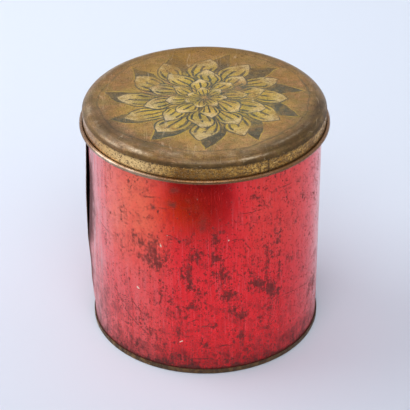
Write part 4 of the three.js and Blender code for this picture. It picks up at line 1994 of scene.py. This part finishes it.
@dataclass(frozen=True)
class Studio:
    """Pale floor, soft light and the photograph's camera, in metres and degrees."""

    lens: float = 146.02
    sensor: float = 36.0
    pitch: float = 32.16
    distance: float = 0.9217
    target_height: float = 0.0685
    roll: float = -0.278
    floor_colour: Shade = srgb(222, 229, 241)
    floor_radius: float = 4.0
    floor_height: float = -0.00005
    floor_sides: int = 96
    backdrop: Shade = srgb(236, 240, 248)
    world_strength: float = 0.58
    card_colour: Shade = srgb(70, 40, 32)
    card_distance: float = 0.19
    card_depth: float = 0.5
    card_width: float = 0.31
    card_shift: float = -0.024
    card_side_fade: float = 0.055
    card_near_fade: float = 0.03
    lamps: tuple[Lamp, ...] = (
        Lamp("left lamp", place=(-0.9, 0.2, 0.8), aim=(0.0, 0.0, 0.06), size=0.9, power=6.4),
        Lamp("top lamp", place=(0.0, -0.6, 1.5), aim=(0.05, 0.9, 0.0), size=1.2, power=3.6, spread=66.0),
    )

    def camera(self) -> None:
        """The camera at the photograph's angle."""
        data = bpy.data.cameras.new("camera")
        data.lens = self.lens
        data.sensor_width = self.sensor
        data.clip_start = 0.01
        data.clip_end = 50.0
        camera = put_in_scene("camera", data)
        down = math.radians(self.pitch)
        away = Vector((0.0, -math.cos(down), math.sin(down)))
        camera.location = Vector((0.0, 0.0, self.target_height)) + away * self.distance
        turn = (-away).to_track_quat("-Z", "Y")
        camera.rotation_mode = "QUATERNION"
        camera.rotation_quaternion = turn @ Quaternion((0.0, 0.0, 1.0), math.radians(self.roll))
        bpy.context.scene.camera = camera

    def floor(self) -> None:
        """A wide pale floor."""
        mesh = bpy.data.meshes.new("floor")
        turn = np.linspace(0, 2 * math.pi, self.floor_sides, endpoint=False)
        rim = [(*point, self.floor_height) for point in arc((0.0, 0.0), self.floor_radius, turn)]
        mesh.from_pydata(rim, [], [tuple(range(self.floor_sides))])
        material, nodes, shader = new_material("pale floor")
        nodes.fill(shader, Base_Color=self.floor_colour, Roughness=0.7, Specular_IOR_Level=0.2)
        mesh.materials.append(material)
        floor = put_in_scene("floor", mesh)

    def card(self) -> None:
        """A dark card on the floor in front, out of the picture, which the glossy wall mirrors."""
        mesh = bpy.data.meshes.new("flag")
        half = self.card_width / 2
        near, far = -self.card_distance, -self.card_distance - self.card_depth
        left, right = self.card_shift - half, self.card_shift + half
        corners = [(left, far, 0.0), (right, far, 0.0), (right, near, 0.0), (left, near, 0.0)]
        mesh.from_pydata(corners, [], [(0, 1, 2, 3)])
        material, nodes, shader = new_material("dark card")
        x, y, _ = nodes.split(nodes.add("ShaderNodeTexCoord").outputs["Object"])
        from_middle = nodes.math("ABSOLUTE", nodes.minus(x, self.card_shift))
        beside = nodes.span(from_middle, half - self.card_side_fade, half)
        edge = nodes.most(beside, nodes.span(y, near - self.card_near_fade, near))
        nodes.fill(shader, Base_Color=nodes.mix(edge, self.card_colour, self.floor_colour), Roughness=0.9)
        mesh.materials.append(material)
        card = put_in_scene("flag", mesh)
        card.visible_camera = False
        card.visible_diffuse = False
        card.visible_shadow = False

    def lights(self) -> None:
        """Weak light all round, and the lamps."""
        world = bpy.data.worlds.new("studio")
        world.use_nodes = True
        nodes = Nodes(world.node_tree)
        rays = nodes.add("ShaderNodeLightPath").outputs
        seen = nodes.most(rays["Is Camera Ray"], rays["Is Glossy Ray"], rays["Is Transmission Ray"])
        strength = nodes.blend(seen, self.world_strength, 1.0)
        nodes.fill(world.node_tree.nodes["Background"], Color=self.backdrop, Strength=strength)
        bpy.context.scene.world = world
        for lamp in self.lamps:
            lamp.build()

    def set_up(self) -> None:
        """Places everything and sets the plain view transform."""
        self.camera()
        self.floor()
        self.card()
        self.lights()
        bpy.context.scene.view_settings.view_transform = "Standard"


Rows = tuple[tuple[float, ...], ...] | list[tuple[float, ...]]


def wide_spots(rows: Rows) -> tuple[Spot, ...]:
    """Spots from rows of middle, half sizes and strength, spread a little wider than listed."""
    return tuple(Spot(x, y, w * PATCH_SPREAD, h * PATCH_SPREAD, s) for x, y, w, h, s in rows)


def round_spots(rows: Rows) -> tuple[RoundSpot, ...]:
    """Spots from rows of angle, distance from the middle, half sizes and strength."""
    return tuple(RoundSpot(*row) for row in rows)


def scratch_lines(rows: Rows) -> tuple[ScratchLine, ...]:
    """Scratch lines from rows of start, end, bend and width."""
    return tuple(ScratchLine((x, y), (end_x, end_y), *rest) for x, y, end_x, end_y, *rest in rows)


# millimetres from the front and from the ground on the unrolled wall: middle, half sizes, strength
PATCHES = wide_spots(
    (
        (-38, 113, 4, 3, 0.35), (-41, 107, 3, 3, 0.3), (-28, 103, 2, 2, 0.3), (-44, 88, 2, 2, 0.35),
        (-42, 83, 4, 2, 0.7), (-48, 80, 3, 2, 0.5), (-35, 79, 5, 3, 0.6), (-30, 76, 5, 5, 0.75),
        (-27, 82, 3, 3, 0.75), (-29, 70, 6, 6, 0.7), (-21, 74, 4, 7, 0.42), (-20, 67, 4, 3, 0.4),
        (-9, 85, 2, 3, 0.75), (-7, 76, 2, 6, 0.5), (-3, 78, 3, 2, 0.45), (-9, 64, 2.5, 8, 0.75),
        (-48, 69, 3, 4, 0.35), (26, 109, 4, 1.5, 0.8), (20, 108, 5, 4, 0.35), (38, 109, 4, 2, 0.65),
        (37, 116, 2.5, 2.5, 0.45), (62, 97, 3, 4, 0.5), (54, 84, 2, 2, 0.6), (42, 93, 2, 2, 0.6),
        (30, 95, 1.5, 1.5, 0.5), (13, 97, 2, 3, 0.45), (6, 86, 2, 7, 0.5), (9, 81, 2, 3, 0.6),
        (6, 75, 2.5, 2.5, 0.95), (9, 66, 1.5, 12, 0.5), (17, 76, 2, 1.5, 0.5), (35, 75, 2.5, 5, 0.7),
        (34, 63, 2.5, 9, 0.6), (40, 77, 3, 2, 0.6), (41, 68, 4, 7, 0.35), (43, 56, 2, 2, 0.5),
        (46, 50, 1.5, 1.5, 0.5), (28, 56, 4, 3, 0.7), (12, 64, 2, 5, 0.5), (26, 68, 4, 6, 0.35),
        (36, 49, 3, 3, 0.65), (42, 45, 3, 4, 0.45), (-4, 60, 3, 3, 0.45), (-25, 52, 4, 4, 0.35),
        (-27, 44, 3, 3, 0.4), (-18, 46, 2, 2, 0.4), (-4, 48, 2.5, 8, 0.5), (-11, 39, 4, 5, 0.45),
        (-35, 32, 3, 3, 0.75), (-40, 27, 4, 3, 0.6), (-33, 22, 3, 3, 0.5), (-50, 36, 5, 5, 0.3),
        (-30, 25, 3, 4, 0.4), (-15, 27, 1.5, 5, 0.6), (-16, 21, 2, 4, 0.45), (-27, 12, 5, 3, 0.45),
        (-40, 13, 5, 3, 0.35), (0, 19, 2.5, 2, 0.75), (-1, 31, 3, 2, 0.35), (12, 51, 4, 3, 0.9),
        (14, 41, 2.5, 4, 0.65), (9, 43, 2, 3, 0.5), (3, 45, 2, 3, 0.4), (21, 37, 3, 3, 0.9),
        (18, 37, 2, 3, 0.5), (20, 23, 2, 3, 0.7), (30, 25, 4, 2.5, 0.6), (34, 24, 2, 2, 0.8),
        (31, 32, 3, 3, 0.45), (34, 37, 3, 5, 0.45), (4, 31, 3, 1.5, 0.4), (5, 14, 2, 4, 0.35),
        (20, 11, 4, 3, 0.35), (-29, 8, 8, 3, 0.45), (-12, 9, 6, 4, 0.5), (13, 7, 10, 3, 0.5),
        (3, 65, 6, 12, 0.15), (51, 62, 2, 1.5, 0.4), (75, 48, 3, 2, 0.4), (63, 48, 1.5, 2, 0.5),
        (77, 96, 3, 3, 0.4),
    )
)
STAINS = wide_spots(
    (
        (-16, 115.5, 3, 2.5, 0.8), (-17.5, 107, 3.5, 2, 0.8), (-27.5, 103, 1.5, 1.6, 0.9),
        (-5, 113, 1.5, 2.5, 0.55), (-9, 110, 3, 2, 0.55), (-9, 105.5, 7, 1.6, 0.5),
        (-1, 97, 4, 7, 0.6), (-4, 106, 3, 5, 0.5), (4, 92, 4, 3, 0.45), (-50, 114, 1.5, 2, 0.45),
        (-42, 107.5, 1.5, 1.5, 0.4), (-44, 113.5, 1, 2.5, 0.4), (-36, 111, 1.5, 1, 0.4),
        (-62, 95, 2.5, 5, 0.35), (-60, 85.5, 2, 5, 0.45), (-13, 84, 2, 2, 0.3),
    )
)
# on the same unrolled wall: start, end, sideways bend, half width
SCRATCHES = scratch_lines(
    (
        (-33, 108, -25, 110, 0.0, 0.6), (-25, 103.5, -17, 104.5, 0.0, 0.4), (-70, 77, -55, 75, -0.9, 0.4),
        (-43, 96, -39, 93.5, 0.0, 0.4), (-21.5, 87.5, -14.5, 86.5, 0.7, 0.5), (-8, 86, -6, 91.5, 0.0, 0.5),
        (41, 110, 49.5, 109.5, 0.0, 0.6), (18, 101, 31, 101, -0.4, 0.45), (13, 85, 20.5, 84.5, 0.9, 0.6),
        (20.5, 84.5, 24.5, 77.5, -0.3, 0.6), (-43, 39, -36, 33.5, 0.0, 0.7), (-46, 29, -33, 21, -0.3, 0.8),
        (-20.5, 38, -14.5, 35, -0.2, 0.6), (-10.5, 33, -3.5, 36.5, 0.0, 0.6), (-31, 25, -5, 24.5, -0.2, 0.4),
        (7, 17.5, 15, 17.5, 0.7, 0.7), (-1, 24.5, 4, 25, 0.0, 0.4), (-2, 32, 5.5, 31, 0.0, 0.5),
        (31, 37.5, 43.5, 41, 0.7, 0.6), (43.5, 41, 68.5, 36, 0.5, 0.5), (8, 75, 9, 54, -0.4, 0.5),
        (-7, 9.5, 3.5, 10, 0.0, 0.6), (21, 34.5, 21, 21, 0.0, 0.4), (35, 78.5, 34, 58, -0.5, 0.5),
        (110, 90, 128, 84, 0.8, 0.5), (150, 40, 171, 47, -0.6, 0.5), (196, 100, 205, 78, 0.5, 0.5),
        (232, 60, 262, 57, 0.9, 0.4),
    )
)
CHIPS = scratch_lines(
    (
        (-39, 49, -37.5, 48, 0.0, 0.8), (-14, 19.5, -12.5, 20.5, 0.0, 0.8), (-24, 81, -23.5, 79, 0.0, 0.6),
        (-20, 87, -20, 86.5, 0.0, 0.4), (12, 85, 12.5, 85, 0.0, 0.6), (-4, 111, -4, 110.5, 0.0, 0.4),
    )
)
# on the lid's shoulder: angle and distance from the middle along the sheet, half sizes, strength
# sooty smearing, and painted shade on the right and the front of the shoulder
SMEARS_AND_SHADE = round_spots(
    (
        (320.0, 61.5, 24.0, 5.5, 1.0), (292.0, 63.0, 20.0, 4.0, 0.15), (262.0, 64.5, 26.0, 2.4, 0.35),
        (236.0, 57.0, 16.0, 4.5, 0.6), (210.0, 59.0, 16.0, 5.5, 0.75), (348.0, 61.5, 20.0, 5.0, 0.9),
        (186.0, 60.0, 18.0, 4.0, 0.45), (140.0, 60.0, 24.0, 4.0, 0.5), (60.0, 60.0, 30.0, 4.0, 0.45),
        (98.0, 61.0, 18.0, 3.0, 0.6),
    )
)
# wear from rubbing, and painted highlights along the front of the shoulder and near the lip
RUBS_AND_HIGHLIGHTS = round_spots(
    (
        (236.0, 63.4, 9.0, 1.0, 0.7), (266.0, 60.0, 26.0, 2.2, 0.35), (222.0, 64.6, 7.0, 0.8, 0.5),
        (292.0, 64.4, 9.0, 0.5, 0.6), (318.0, 60.5, 12.0, 0.8, 0.4), (196.0, 62.0, 12.0, 1.6, 0.4),
        (60.0, 62.0, 20.0, 1.2, 0.4), (140.0, 61.0, 16.0, 1.2, 0.4),
    )
)


def scattered_patches(seed: int, count: int) -> tuple[Spot, ...]:
    """Worn patches in loose groups on the tin's far side, which no picture shows.

    Args:
        seed: seed of the random numbers.
        count: how many groups.

    Returns:
        The patches.
    """
    rng = np.random.default_rng(seed)
    rows: list[tuple[float, ...]] = []
    for _ in range(count):
        around, height = rng.uniform(72.0, 300.0), rng.uniform(14.0, 112.0)
        for _ in range(rng.integers(1, 5)):
            middle = (around + rng.normal(0.0, 5.0), height + rng.normal(0.0, 6.0))
            half_sizes = (rng.uniform(1.5, 4.5), rng.uniform(1.5, 6.0))
            rows.append((*middle, *half_sizes, rng.uniform(0.35, 0.8)))
    return wide_spots(rows)


def main() -> None:
    """Builds the tin piece by piece."""
    logging.basicConfig(level=logging.INFO, format="%(name)s: %(message)s")
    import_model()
    Studio().set_up()

    red = RedLacquer("red lacquer", roughness=0.2, metallic=0.78, coat=0.5, chips=CHIPS).build()
    inside = StainedMetal("stained tinplate", roughness=0.45, metallic=0.8).build()
    raw = StainedMetal(
        "raw edge", roughness=0.5, metallic=0.7, light=srgb(168, 132, 104), dark=srgb(112, 82, 62)
    ).build()
    rim = StainedMetal(
        "base rim",
        roughness=0.42,
        metallic=0.4,
        light=srgb(150, 112, 60),
        dark=srgb(96, 68, 38),
        stain=srgb(56, 38, 24),
        stain_cover=0.6,
        count=18.0,
    ).build()
    roll = StainedMetal(
        "rolled edge",
        roughness=0.24,
        metallic=0.85,
        light=srgb(212, 192, 172),
        dark=srgb(160, 134, 112),
        stain=srgb(120, 80, 42),
        stain_cover=0.3,
        count=14.0,
    ).build()
    copper = CopperPrint("copper print", roughness=0.42, metallic=0.25).build()
    gold = GoldLacquer("gold lacquer", roughness=0.26, metallic=0.85).build()
    solder = StainedMetal("solder", roughness=0.5, metallic=0.8, stain_cover=0.2).build()
    wire = StainedMetal(
        "steel wire", roughness=0.5, metallic=0.8, light=srgb(110, 102, 96), dark=srgb(70, 62, 58)
    ).build()

    sizes = TinSizes()
    worn = PATCHES + scattered_patches(seed=11, count=42)
    body = TinBody(sizes, patches=worn, stains=STAINS, scratches=SCRATCHES)
    body.wall(red, inside, raw)
    body.base(rim, inside)
    body.seam_solder(solder)
    body.base_solder(solder)

    lid = Lid(sizes, smears_and_shade=SMEARS_AND_SHADE, streaks=RUBS_AND_HIGHLIGHTS)
    lid.top(copper, inside, raw)
    lid.skirt(gold, inside, raw, roll)
    lid.wire(wire)
    lid.solder(solder)


if __name__ == "__main__":
    main()
